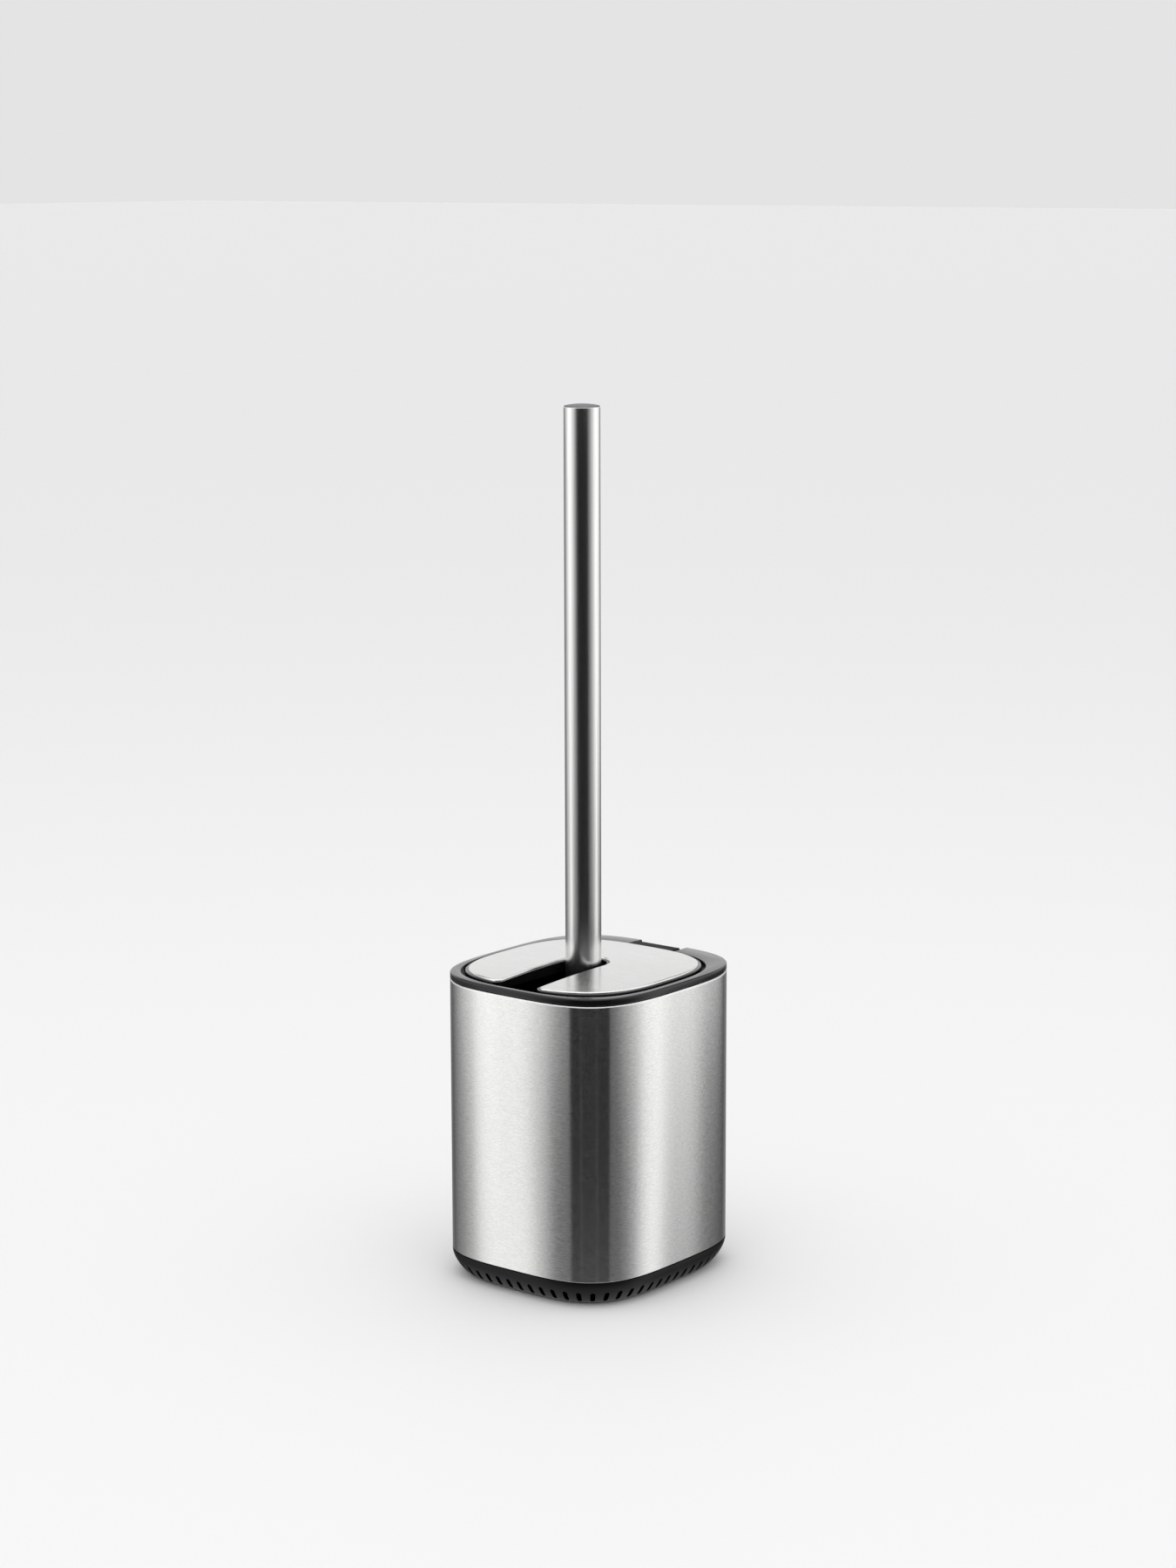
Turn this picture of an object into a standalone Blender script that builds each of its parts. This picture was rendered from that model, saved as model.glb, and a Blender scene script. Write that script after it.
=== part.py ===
"""Toilet brush holder: a stainless canister with a slotted, hinged lid, and a brush in a drip cup.

Units are metres and +Z is up. The origin is on the floor, under the middle of the canister. The slot in
the lid opens at the front (-Y) and the lid's hinge is at the back (+Y). The brush lifts straight up, and
the lid swings up and back out of its way.
"""

import math

import bmesh
import bpy
from mathutils import Matrix, Vector

# Clearances
GAP = 0.0003                 # between pieces that seat on or plug into each other
LID_GAP = 0.0020             # all round the lid, so that it swings free of the collar
CUP_GAP = 0.0006             # round the foot of the cup, so that it lifts out easily
HEAD_SPACE = 0.0019          # between the bristles and the foot of the cup
SLOT_SPACE = 0.0019          # between the handle and the sides of the frame's slot
NECK_SPACE = 0.0008          # between the stem and the drawn-in end of the handle

# How far helper solids run into or past the faces that they join or cut
OVERLAP = 0.0006
PAST = 0.0060

# Canister: a rounded square in plan, whose power is 2 for an ellipse and more for a squarer shape
BODY_WIDTH = 0.1160
BODY_DEPTH = 0.1260
BODY_POWER = 3.5
BASE_HEIGHT = 0.0131         # floor to the lower edge of the steel shell
SHELL_HEIGHT = 0.1393
SHEET = 0.0006               # steel of the shell and of the lid's plate
SLEEVE_WALL = 0.0015
SLEEVE_DROP = 0.0049         # shell's top edge down to the sleeve's top edge

# Collar
RIM_HEIGHT = 0.0033
RIM_EDGE = 0.0008            # rounding of the rim's outer edge
RIM_SIDE = 0.0036            # rim's width at the sides
RIM_FRONT = 0.0030
RIM_BACK = 0.0118
COLLAR_WALL = 0.0015         # of the collar's plug
COLLAR_PLUG = 0.0078         # how far the collar plugs into the sleeve
LEDGE_WIDTH = 0.0060         # how far the ledge reaches in under the lid
LEDGE_THICKNESS = 0.0020
HINGE_BLOCK = 0.0110         # depth of the solid back wall that takes the hinge pin

# Lid
LID_POWER = 3.0
FRAME_EDGE = 0.0014          # black edge of the lid's frame that shows round the steel plate
FRAME_THICKNESS = 0.0035
LID_LIFT = 0.0005            # frame's top edge above the rim
DOME_RISE = 0.0016
SLOT_BEHIND = 0.0015         # centre of the slot's round end, behind the brush's axis
MOUTH_RADIUS = 0.0060        # rounding of the plate's corners at the slot's mouth
BUMPER_RADIUS = 0.0020
BUMPER_HEIGHT = 0.0022
BUMPER_STANDS = 0.0011       # how far a bumper stands out of the lid's underside
BUMPER_TURN = math.radians(60)

# Hinge
BARREL_RADIUS = 0.0032
BARREL_LENGTH = 0.0288
BARREL_DROP = 0.0012         # barrel's top below the rim's top
BARREL_SPACE = 0.0005        # round the barrel, to the notch and the shell
PIN_RADIUS = 0.0015
PIN_LENGTH = 0.0390
TAB_SETBACK = 0.0014         # tab's rear edge in front of the hinge axis
TAB_THICKNESS = 0.0050
TAB_UNDER = 0.0060           # how far the tab runs in under the lid's frame

# Base
BASE_INSET = 0.0060          # how far the base draws in from the shell to its underside
BASE_CURVE = 1.8             # power of that curve: 1 is a straight taper
BASE_LEVELS = 4
BASE_WALL = 0.0022
SPIGOT_WALL = 0.0015
BASE_FLOOR = 0.0020
SPIGOT_HEIGHT = 0.0062       # ring of the base that plugs into the sleeve
VENT_PITCH = 0.0068
VENT_WIDTH = 0.0020
VENT_BOTTOM = 0.0019
VENT_TOP = 0.0075
VENT_DEPTH = 0.0070
RING_WALL = 0.0015           # ring on the base's floor that centres the cup
RING_HEIGHT = 0.0045
RIB_HEIGHT = 0.0015
RIB_WIDTH = 0.0030

# Feet and screws
FOOT_RADIUS = 0.0050
FOOT_HEIGHT = 0.0016
FOOT_STANDS = 0.0010         # how far a foot stands below the base
FOOT_INSET_X = 0.0200        # foot's axis in from the canister's side
FOOT_INSET_Y = 0.0390        # and from its front or back
SCREW_INSET = 0.0120         # screw's axis in from the canister's outline
SCREW_RADIUS = 0.0014
SCREW_HEAD_RADIUS = 0.0028
SCREW_HEAD_HEIGHT = 0.0017
SCREW_LENGTH = 0.0180
SCREW_DRIVE = 0.0008         # width of the cross recess
SCREW_DRIVE_SPAN = 0.0032
BOSS_RADIUS = 0.0040
BOSS_HEIGHT = 0.0110
WEB_THICKNESS = 0.0016

# Drip cup
CUP_FLARE = 0.0035           # how much wider the cup is at its top than at its foot
CUP_HEIGHT = 0.0840
CUP_WALL = 0.0016
CUP_LIP = 0.0012

# Brush
BRUSH_Y = -0.0045
BRUSH_TOP = 0.4375
HANDLE_RADIUS = 0.0090
HANDLE_WALL = 0.0008
HANDLE_BELOW = 0.0040        # lower end of the tube below the top edge of the lid's frame
HANDLE_NECK_LENGTH = 0.0080  # over which the tube is drawn in at its lower end
CAP_RISE = 0.0009
CAP_FLANGE = 0.0008
CAP_PLUG = 0.0100
PLUG_LENGTH = 0.0220
STEM_RADIUS = 0.0050
STEM_INTO_HANDLE = 0.0280
SEAL_HEIGHT = 0.0015
SEAL_LIP = 0.0016            # seal's outer edge beyond the stem
SOCKET_DEPTH = 0.0180
SOCKET_WALL = 0.0022
CORE_SHOULDER = 0.0015       # how much thicker the core is below its neck
CORE_LENGTH = 0.0760
HEAD_RADIUS = 0.0360
HEAD_LENGTH = 0.0760
HEAD_POWER = 2.3
HEAD_STANDS = 0.0008         # tips of the bristles above the cup's floor
BRISTLES_BELOW = 0.0100      # length of the bristles under the core's tip

# How finely round shapes are cut
TRACE_POINTS = 7200          # along an outline, to space the vents evenly
OUTLINE_POINTS = 60
ROUND_STEPS = 24
SMALL_STEPS = 12
VENT_STEPS = 6
CORNER_STEPS = 5
CROWN_STEPS = 4
BRISTLE_STEPS = 12
DOME_SHARES = (1.0, 0.8, 0.55, 0.3, 0.08)   # of the lid's outline, from its edge to near its middle


class Plan:
    """A rounded-square outline seen from above."""

    def __init__(self, half_x, half_y, centre_y, power):
        self.half_x = half_x
        self.half_y = half_y
        self.centre_y = centre_y
        self.power = power

    def inset(self, distance):
        """The outline drawn in by a distance on each side."""
        return Plan(self.half_x - distance, self.half_y - distance, self.centre_y, self.power)

    def point(self, turn, z=0.0):
        """The outline's point at a turn in radians, measured from +X towards +Y."""
        c, s = math.cos(turn), math.sin(turn)
        x = math.copysign(abs(c) ** (2 / self.power), c) * self.half_x
        y = math.copysign(abs(s) ** (2 / self.power), s) * self.half_y
        return Vector((x, self.centre_y + y, z))

    def back_at(self, x):
        """How far back the outline reaches at x."""
        share = 1 - (abs(x) / self.half_x) ** self.power
        return self.centre_y + self.half_y * share ** (1 / self.power)

    def front_at(self, x):
        """How far forward the outline reaches at x."""
        return 2 * self.centre_y - self.back_at(x)

    def evenly(self, pitch):
        """Points about a pitch apart along the outline, each with its outward direction in plan."""
        points = [self.point(2 * math.pi * i / TRACE_POINTS) for i in range(TRACE_POINTS + 1)]
        lengths = [0.0]
        for a, b in zip(points, points[1:]):
            lengths.append(lengths[-1] + (b - a).length)
        count = round(lengths[-1] / pitch)
        found, at = [], 0
        for k in range(count):
            while lengths[at + 1] < k * lengths[-1] / count:
                at += 1
            along = points[at + 1] - points[at]
            found.append((points[at], Vector((along.y, -along.x, 0)).normalized()))
        return found


# Heights and outlines that follow from the sizes above
SHELL_TOP = BASE_HEIGHT + SHELL_HEIGHT
RIM_BOTTOM = SHELL_TOP + GAP
RIM_TOP = RIM_BOTTOM + RIM_HEIGHT
SLEEVE_TOP = SHELL_TOP - SLEEVE_DROP
BASE_TOP = BASE_HEIGHT - GAP
BASE_FLOOR_TOP = FOOT_STANDS + BASE_FLOOR

BODY = Plan(BODY_WIDTH / 2, BODY_DEPTH / 2, 0.0, BODY_POWER)
SLEEVE = BODY.inset(SHEET + GAP)
INSIDE_SLEEVE = SLEEVE.inset(SLEEVE_WALL + GAP)
OPENING_FRONT = RIM_FRONT - BODY_DEPTH / 2
OPENING_BACK = BODY_DEPTH / 2 - RIM_BACK
OPENING = Plan(
    BODY_WIDTH / 2 - RIM_SIDE,
    (OPENING_BACK - OPENING_FRONT) / 2,
    (OPENING_BACK + OPENING_FRONT) / 2,
    LID_POWER,
)
FRAME = OPENING.inset(LID_GAP)
PLATE = FRAME.inset(FRAME_EDGE)
THROAT = FRAME.inset(LEDGE_WIDTH)

FRAME_TOP = RIM_TOP + LID_LIFT
FRAME_BOTTOM = FRAME_TOP - FRAME_THICKNESS
PLATE_BOTTOM = FRAME_TOP + GAP
LEDGE_TOP = FRAME_BOTTOM - BUMPER_STANDS - GAP

HINGE_Z = RIM_TOP - BARREL_DROP - BARREL_RADIUS
HINGE_Y = BODY.inset(SHEET).back_at(BARREL_LENGTH / 2) - BARREL_SPACE - BARREL_RADIUS

SLOT_HALF = HANDLE_RADIUS + SLOT_SPACE + FRAME_EDGE     # in the plate; less by the edge in the frame
SLOT_Y = BRUSH_Y + SLOT_BEHIND

CUP_FOOT_RADIUS = HEAD_RADIUS + HEAD_SPACE + CUP_WALL
CUP_RADIUS = CUP_FOOT_RADIUS + CUP_FLARE
CUP_BOTTOM = BASE_FLOOR_TOP + RIB_HEIGHT + GAP
CUP_FLOOR_TOP = CUP_BOTTOM + CUP_WALL

HEAD_BOTTOM = CUP_FLOOR_TOP + HEAD_STANDS
HEAD_TOP = HEAD_BOTTOM + HEAD_LENGTH
CORE_BOTTOM = HEAD_BOTTOM + BRISTLES_BELOW
CORE_TOP = CORE_BOTTOM + CORE_LENGTH
SOCKET_BOTTOM = CORE_TOP - SOCKET_DEPTH
CORE_NECK_RADIUS = STEM_RADIUS + GAP + SOCKET_WALL
CORE_RADIUS = CORE_NECK_RADIUS + CORE_SHOULDER
HANDLE_BOTTOM = FRAME_TOP - HANDLE_BELOW
HANDLE_NECK_RADIUS = STEM_RADIUS + NECK_SPACE + HANDLE_WALL
NECK_TOP = HANDLE_BOTTOM + HANDLE_NECK_LENGTH

SCREW_SEAT = FOOT_STANDS + GAP + SCREW_HEAD_HEIGHT
CORNERS = [math.radians(a) for a in (45, 135, 225, 315)]


def start():
    """Empties the scene and makes the two collections."""
    for item in list(bpy.data.objects):
        bpy.data.objects.remove(item)
    collections = []
    for name in ("toilet_brush_holder", "cutters"):
        made = bpy.data.collections.new(name)
        bpy.context.scene.collection.children.link(made)
        collections.append(made)
    return collections


PARTS, CUTTERS = start()


def material(name, colour, roughness, metallic=0.0):
    made = bpy.data.materials.new(name)
    made.use_nodes = True
    shader = made.node_tree.nodes["Principled BSDF"]
    shader.inputs["Base Color"].default_value = (*colour, 1.0)
    shader.inputs["Roughness"].default_value = roughness
    shader.inputs["Metallic"].default_value = metallic
    return made


BRUSHED_STEEL = material("brushed_stainless", (0.60, 0.60, 0.60), 0.30, 1.0)
POLISHED_STEEL = material("satin_stainless_tube", (0.66, 0.66, 0.66), 0.18, 1.0)
SCREW_STEEL = material("zinc_plated_steel", (0.55, 0.56, 0.58), 0.35, 1.0)
BLACK_PLASTIC = material("black_moulded_plastic", (0.018, 0.018, 0.019), 0.45)
GREY_PLASTIC = material("grey_moulded_plastic", (0.16, 0.16, 0.165), 0.40)
BLACK_RUBBER = material("black_rubber", (0.012, 0.012, 0.012), 0.80)
BRISTLE_NYLON = material("white_bristle_nylon", (0.75, 0.76, 0.78), 0.55)


def empty(name, place):
    """A pivot that a moving assembly hangs on."""
    made = bpy.data.objects.new(name, None)
    made.location = place
    PARTS.objects.link(made)
    return made


CANISTER = empty("canister", (0.0, 0.0, 0.0))
LID_PIVOT = empty("lid_pivot", (0.0, HINGE_Y, HINGE_Z))
BRUSH_AXIS = empty("brush_axis", (0.0, BRUSH_Y, 0.0))


def part(obj, surface, parent):
    """Puts a finished piece in the parts collection, with its material, under its assembly's pivot."""
    obj.data.materials.append(surface)
    PARTS.objects.link(obj)
    obj.parent = parent
    obj.matrix_parent_inverse = Matrix.Translation(parent.location).inverted()
    return obj


def tool(obj):
    """Puts a helper solid, which only cuts or joins, in the cutters collection."""
    obj.hide_render = True
    obj.display_type = "WIRE"
    CUTTERS.objects.link(obj)
    return obj


def object_of(name, shape, smooth=True):
    """An object from a bmesh, with outward faces and round surfaces shaded smooth."""
    bmesh.ops.recalc_face_normals(shape, faces=shape.faces)
    if shape.calc_volume(signed=True) < 0:
        bmesh.ops.reverse_faces(shape, faces=shape.faces)
    data = bpy.data.meshes.new(name)
    shape.to_mesh(data)
    shape.free()
    if smooth:
        data.shade_smooth()
        data.set_sharp_from_angle(angle=math.radians(30))
    return bpy.data.objects.new(name, data)


def loft(name, sections, capped=True):
    """A solid, or an open wall, through rounded-square sections given as (plan, height).

    A unit tube is extruded one level for each section, and then each level takes its section's outline.
    """
    shape = bmesh.new()
    bmesh.ops.create_circle(shape, segments=OUTLINE_POINTS, radius=1.0)
    ring = first = shape.edges[:]
    for level in range(1, len(sections)):
        grown = bmesh.ops.extrude_edge_only(shape, edges=ring)["geom"]
        corners = [item for item in grown if isinstance(item, bmesh.types.BMVert)]
        bmesh.ops.translate(shape, verts=corners, vec=(0, 0, 1))
        above = level - 0.5
        ring = [edge for edge in shape.edges if min(corner.co.z for corner in edge.verts) > above]
    if capped:
        bmesh.ops.holes_fill(shape, edges=first + ring, sides=0)
    for vertex in shape.verts:
        plan, z = sections[round(vertex.co.z)]
        vertex.co = plan.point(math.atan2(vertex.co.y, vertex.co.x), z)
    return object_of(name, shape)


def wall(name, plan, bottom, top, thickness):
    """An upright wall on an outline, thickened inwards."""
    made = loft(name, [(plan, bottom), (plan, top)], capped=False)
    solid = made.modifiers.new("thickness", "SOLIDIFY")
    solid.thickness = thickness
    solid.offset = -1
    solid.use_even_offset = True
    return made


def turned(name, profile, steps=ROUND_STEPS, closed=False):
    """A solid turned about Z through (radius, height) points, from the top down the outside.

    A closed profile doesn't meet the axis, and makes a ring or a tube.
    """
    data = bpy.data.meshes.new(name)
    ends = [(i, i + 1) for i in range(len(profile) - 1)]
    if closed:
        ends.append((len(profile) - 1, 0))
    data.from_pydata([(r, 0.0, z) for r, z in profile], ends, [])
    made = bpy.data.objects.new(name, data)
    screw = made.modifiers.new("turn", "SCREW")
    screw.axis = "Z"
    screw.angle = 2 * math.pi
    screw.steps = screw.render_steps = steps
    screw.use_merge_vertices = True
    screw.merge_threshold = 0.00001
    return made


def cylinders(name, places, radius, bottom, top, steps=SMALL_STEPS):
    """Upright cylinders at several places, as one helper."""
    shape = bmesh.new()
    for place in places:
        bmesh.ops.create_cone(
            shape, cap_ends=True, segments=steps, radius1=radius, radius2=radius, depth=top - bottom,
            matrix=Matrix.Translation((place.x, place.y, (top + bottom) / 2)),
        )
    return object_of(name, shape)


def cross_cylinder(name, radius, length, y, z, steps=ROUND_STEPS):
    """A cylinder that lies along X."""
    shape = bmesh.new()
    bmesh.ops.create_cone(
        shape, cap_ends=True, segments=steps, radius1=radius, radius2=radius, depth=length,
        matrix=Matrix.Translation((0, y, z)) @ Matrix.Rotation(math.pi / 2, 4, "Y"),
    )
    return object_of(name, shape)


def blocks(name, boxes):
    """Boxes as one helper, each given as (centre, size, turn about Z)."""
    shape = bmesh.new()
    for centre, size, turn in boxes:
        place = Matrix.Translation(centre) @ Matrix.Rotation(turn, 4, "Z")
        bmesh.ops.create_cube(shape, size=1.0, matrix=place @ Matrix.Diagonal((*size, 1.0)))
    return object_of(name, shape, smooth=False)


def outline_prism(name, points, bottom, top):
    """An upright prism on a flat outline."""
    data = bpy.data.curves.new(name + "_outline", "CURVE")
    data.dimensions = "2D"
    data.fill_mode = "BOTH"
    data.extrude = (top - bottom) / 2
    line = data.splines.new("POLY")
    line.points.add(len(points) - 1)
    for spot, (x, y) in zip(line.points, points):
        spot.co = (x, y, 0.0, 1.0)
    line.use_cyclic_u = True
    curve = bpy.data.objects.new(name + "_outline", data)
    bpy.context.scene.collection.objects.link(curve)
    graph = bpy.context.evaluated_depsgraph_get()
    flat = bpy.data.meshes.new_from_object(curve.evaluated_get(graph))
    bpy.data.objects.remove(curve)
    shape = bmesh.new()
    shape.from_mesh(flat)
    bmesh.ops.remove_doubles(shape, verts=shape.verts, dist=0.00001)
    bmesh.ops.translate(shape, verts=shape.verts, vec=(0, 0, (top + bottom) / 2))
    return object_of(name, shape)


def combine(target, helper, operation):
    """Joins a helper to a piece, or cuts it away."""
    modifier = target.modifiers.new(helper.name, "BOOLEAN")
    modifier.operation = operation
    modifier.object = helper


def join(target, helper):
    combine(target, tool(helper), "UNION")


def cut(target, helper):
    combine(target, tool(helper), "DIFFERENCE")


def bevel_edge(profile_corner, size, across, along):
    """Two points that chamfer a turned profile's corner."""
    r, z = profile_corner
    return [(r + across * size, z), (r, z + along * size)]


def base_section(level):
    """The base's outline and height at a level from 0, its top, to 1, its underside."""
    z = BASE_TOP + (FOOT_STANDS - BASE_TOP) * level
    return BODY.inset(BASE_INSET * level ** BASE_CURVE), z


def base_inset_at(z):
    level = (BASE_TOP - z) / (BASE_TOP - FOOT_STANDS)
    return BASE_INSET * level ** BASE_CURVE


def screw_places():
    return [BODY.inset(SCREW_INSET).point(turn) for turn in CORNERS]


def foot_places():
    x = BODY_WIDTH / 2 - FOOT_INSET_X
    y = BODY_DEPTH / 2 - FOOT_INSET_Y
    return [Vector((x, y, 0)), Vector((-x, y, 0)), Vector((-x, -y, 0)), Vector((x, -y, 0))]


# Canister

def outer_shell():
    made = wall("outer_shell", BODY, BASE_HEIGHT, SHELL_TOP, SHEET)
    return part(made, BRUSHED_STEEL, CANISTER)


def inner_sleeve():
    """The plastic tube behind the steel, with a screw boss on a web at each corner."""
    made = wall("inner_sleeve", SLEEVE, BASE_HEIGHT, SLEEVE_TOP, SLEEVE_WALL)
    boss_top = BASE_HEIGHT + BOSS_HEIGHT
    web_bottom = BASE_TOP + SPIGOT_HEIGHT + GAP
    places = screw_places()
    join(made, cylinders("sleeve_bosses", places, BOSS_RADIUS, BASE_HEIGHT, boss_top))
    webs = []
    for turn, boss in zip(CORNERS, places):
        outer = SLEEVE.inset(SLEEVE_WALL / 2).point(turn)
        along = outer - boss
        centre = (outer + boss) / 2 + Vector((0, 0, (web_bottom + boss_top) / 2))
        size = (along.length, WEB_THICKNESS, boss_top - web_bottom)
        webs.append((centre, size, math.atan2(along.y, along.x)))
    join(made, blocks("sleeve_webs", webs))
    pilot_top = SCREW_SEAT + SCREW_LENGTH + GAP
    cut(made, cylinders("sleeve_pilots", places, SCREW_RADIUS + GAP, 0.0, pilot_top))
    return part(made, BLACK_PLASTIC, CANISTER)


def top_collar():
    """The rim round the lid, which plugs into the sleeve and carries the hinge."""
    plug_top = SLEEVE_TOP + GAP
    plug_bottom = SLEEVE_TOP - COLLAR_PLUG
    made = loft("top_collar", [
        (INSIDE_SLEEVE, plug_bottom), (INSIDE_SLEEVE, plug_top),
        (SLEEVE, plug_top), (SLEEVE, RIM_BOTTOM),
        (BODY, RIM_BOTTOM), (BODY, RIM_TOP - RIM_EDGE),
        (BODY.inset(RIM_EDGE * (1 - math.sqrt(0.5))), RIM_TOP - RIM_EDGE * (1 - math.sqrt(0.5))),
        (BODY.inset(RIM_EDGE), RIM_TOP),
    ])
    ledge_bottom = LEDGE_TOP - LEDGE_THICKNESS
    cavity = INSIDE_SLEEVE.inset(COLLAR_WALL)
    cavity_back = BODY_DEPTH / 2 - HINGE_BLOCK
    cavity_half = (cavity_back + cavity.half_y) / 2
    cavity = Plan(cavity.half_x, cavity_half, cavity_back - cavity_half, BODY_POWER)
    above = RIM_TOP + OVERLAP
    below = plug_bottom - OVERLAP
    cut(made, loft("collar_opening", [
        (cavity, below), (cavity, ledge_bottom), (THROAT, ledge_bottom), (THROAT, LEDGE_TOP),
        (OPENING, LEDGE_TOP), (OPENING, above),
    ]))
    notch_low = HINGE_Z - BARREL_RADIUS - BARREL_SPACE
    notch_front = THROAT.back_at(0) - PAST
    notch_back = BODY_DEPTH / 2 + LID_GAP
    notch_width = BARREL_LENGTH + 2 * GAP
    cut(made, blocks("collar_notch", [(
        (0, (notch_front + notch_back) / 2, (notch_low + above + LID_GAP) / 2),
        (notch_width, notch_back - notch_front, above + LID_GAP - notch_low), 0.0,
    )]))
    pin_room = PIN_LENGTH + 2 * GAP
    cut(made, cross_cylinder("collar_pin_bore", PIN_RADIUS + GAP, pin_room, HINGE_Y, HINGE_Z, SMALL_STEPS))
    return part(made, BLACK_PLASTIC, CANISTER)


def vent_cutters():
    """Round-ended slots all round the base, square to its outline."""
    shape = bmesh.new()
    radius = VENT_WIDTH / 2
    for place, outward in BODY.inset(BASE_INSET / 2).evenly(VENT_PITCH):
        facing = Matrix.Rotation(math.atan2(outward.y, outward.x), 4, "Z")
        lying = Matrix.Rotation(math.pi / 2, 4, "Y") @ Matrix.Rotation(math.pi / VENT_STEPS, 4, "Z")
        ring = bmesh.ops.create_cone(
            shape, cap_ends=True, segments=VENT_STEPS, radius1=radius, radius2=radius,
            depth=2 * VENT_DEPTH, matrix=Matrix.Translation(place) @ facing @ lying,
        )
        for vertex in ring["verts"]:
            vertex.co.z += VENT_TOP - radius if vertex.co.z > 0 else VENT_BOTTOM + radius
    return object_of("base_vents", shape)


def vented_base():
    """The black foot: a tray that draws in towards the floor, with vents all round and the cup's seat."""
    steps = [i / (BASE_LEVELS - 1) for i in range(BASE_LEVELS)]
    spigot_top = BASE_TOP + SPIGOT_HEIGHT
    rising = [base_section(level) for level in reversed(steps)]
    made = loft("vented_base", rising + [(INSIDE_SLEEVE, BASE_TOP), (INSIDE_SLEEVE, spigot_top)])
    inner_low = BODY.inset(base_inset_at(BASE_FLOOR_TOP) + BASE_WALL)
    inner_top = INSIDE_SLEEVE.inset(SPIGOT_WALL)
    cut(made, loft("base_inside", [
        (inner_low, BASE_FLOOR_TOP), (inner_top, BASE_TOP - BASE_WALL), (inner_top, spigot_top + OVERLAP),
    ]))
    cut(made, vent_cutters())
    join(made, cylinders("base_posts", screw_places(), BOSS_RADIUS, BASE_FLOOR_TOP - OVERLAP, BASE_TOP))
    inner = CUP_FOOT_RADIUS + CUP_GAP
    outer = inner + RING_WALL
    top, low = BASE_FLOOR_TOP + RING_HEIGHT, BASE_FLOOR_TOP - OVERLAP
    ring = turned("base_cup_ring", [(outer, top), (outer, low), (inner, low), (inner, top)], closed=True)
    ring.location.y = BRUSH_Y
    join(made, ring)
    rib_top = BASE_FLOOR_TOP + RIB_HEIGHT
    rib_size = (2 * inner - RING_WALL, RIB_WIDTH, rib_top - low)
    centre = (0, BRUSH_Y, (rib_top + low) / 2)
    join(made, blocks("base_rib_across", [(centre, rib_size, 0.0)]))
    join(made, blocks("base_rib_along", [(centre, rib_size, math.pi / 2)]))
    head_room = FOOT_STANDS + SCREW_HEAD_HEIGHT + 2 * GAP
    places = screw_places()
    cut(made, cylinders("base_counterbores", places, SCREW_HEAD_RADIUS + GAP, 0.0, head_room))
    cut(made, cylinders("base_screw_holes", places, SCREW_RADIUS + GAP, 0.0, BASE_TOP + OVERLAP))
    cut(made, cylinders("base_foot_pockets", foot_places(), FOOT_RADIUS + GAP, 0.0, FOOT_HEIGHT + GAP))
    return part(made, BLACK_PLASTIC, CANISTER)


def drip_cup():
    """The loose cup that the brush head stands in."""
    top = CUP_BOTTOM + CUP_HEIGHT
    lip = CUP_RADIUS + CUP_LIP
    made = turned("drip_cup", [
        (lip, top), (lip, top - CUP_LIP), (CUP_RADIUS, top - 2 * CUP_LIP),
        (CUP_FOOT_RADIUS, CUP_BOTTOM + CUP_LIP), (CUP_FOOT_RADIUS - CUP_LIP, CUP_BOTTOM), (0.0, CUP_BOTTOM),
        (0.0, CUP_FLOOR_TOP), (CUP_FOOT_RADIUS - CUP_WALL - CUP_LIP, CUP_FLOOR_TOP),
        (CUP_FOOT_RADIUS - CUP_WALL, CUP_FLOOR_TOP + CUP_LIP), (CUP_RADIUS - CUP_WALL, top),
    ], closed=True)
    made.location.y = BRUSH_Y
    return part(made, GREY_PLASTIC, CANISTER)


def base_screws():
    """Four screws that hold the base to the sleeve, with a cross recess in each head."""
    low = FOOT_STANDS + GAP
    tip = SCREW_SEAT + SCREW_LENGTH
    places = screw_places()
    size = (SCREW_DRIVE_SPAN, SCREW_DRIVE, SCREW_HEAD_HEIGHT)
    centres = [place + Vector((0, 0, low)) for place in places]
    across = tool(blocks("screw_recess_across", [(centre, size, 0.0) for centre in centres]))
    along = tool(blocks("screw_recess_along", [(centre, size, math.pi / 2) for centre in centres]))
    for number, place in enumerate(places, 1):
        made = turned(f"base_screw_{number}", [
            (0.0, tip), (SCREW_RADIUS / 2, tip), (SCREW_RADIUS, tip - SCREW_RADIUS),
            (SCREW_RADIUS, SCREW_SEAT), (SCREW_HEAD_RADIUS, SCREW_SEAT), (SCREW_HEAD_RADIUS, low), (0.0, low),
        ], steps=SMALL_STEPS)
        made.location = place
        combine(made, across, "DIFFERENCE")
        combine(made, along, "DIFFERENCE")
        part(made, SCREW_STEEL, CANISTER)


def foot_pads():
    for number, place in enumerate(foot_places(), 1):
        made = turned(f"foot_pad_{number}", [
            (0.0, FOOT_HEIGHT), (FOOT_RADIUS, FOOT_HEIGHT),
            *reversed(bevel_edge((FOOT_RADIUS, 0.0), GAP, -1, 1)), (0.0, 0.0),
        ], steps=SMALL_STEPS)
        made.location = place
        part(made, BLACK_RUBBER, CANISTER)


def hinge_pin():
    half = PIN_LENGTH / 2
    made = turned("hinge_pin", [
        (0.0, half), *bevel_edge((PIN_RADIUS, half), GAP, -1, -1),
        *reversed(bevel_edge((PIN_RADIUS, -half), GAP, -1, 1)), (0.0, -half),
    ], steps=SMALL_STEPS)
    made.rotation_euler.y = math.pi / 2
    made.location = (0.0, HINGE_Y, HINGE_Z)
    return part(made, SCREW_STEEL, CANISTER)


# Lid

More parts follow.
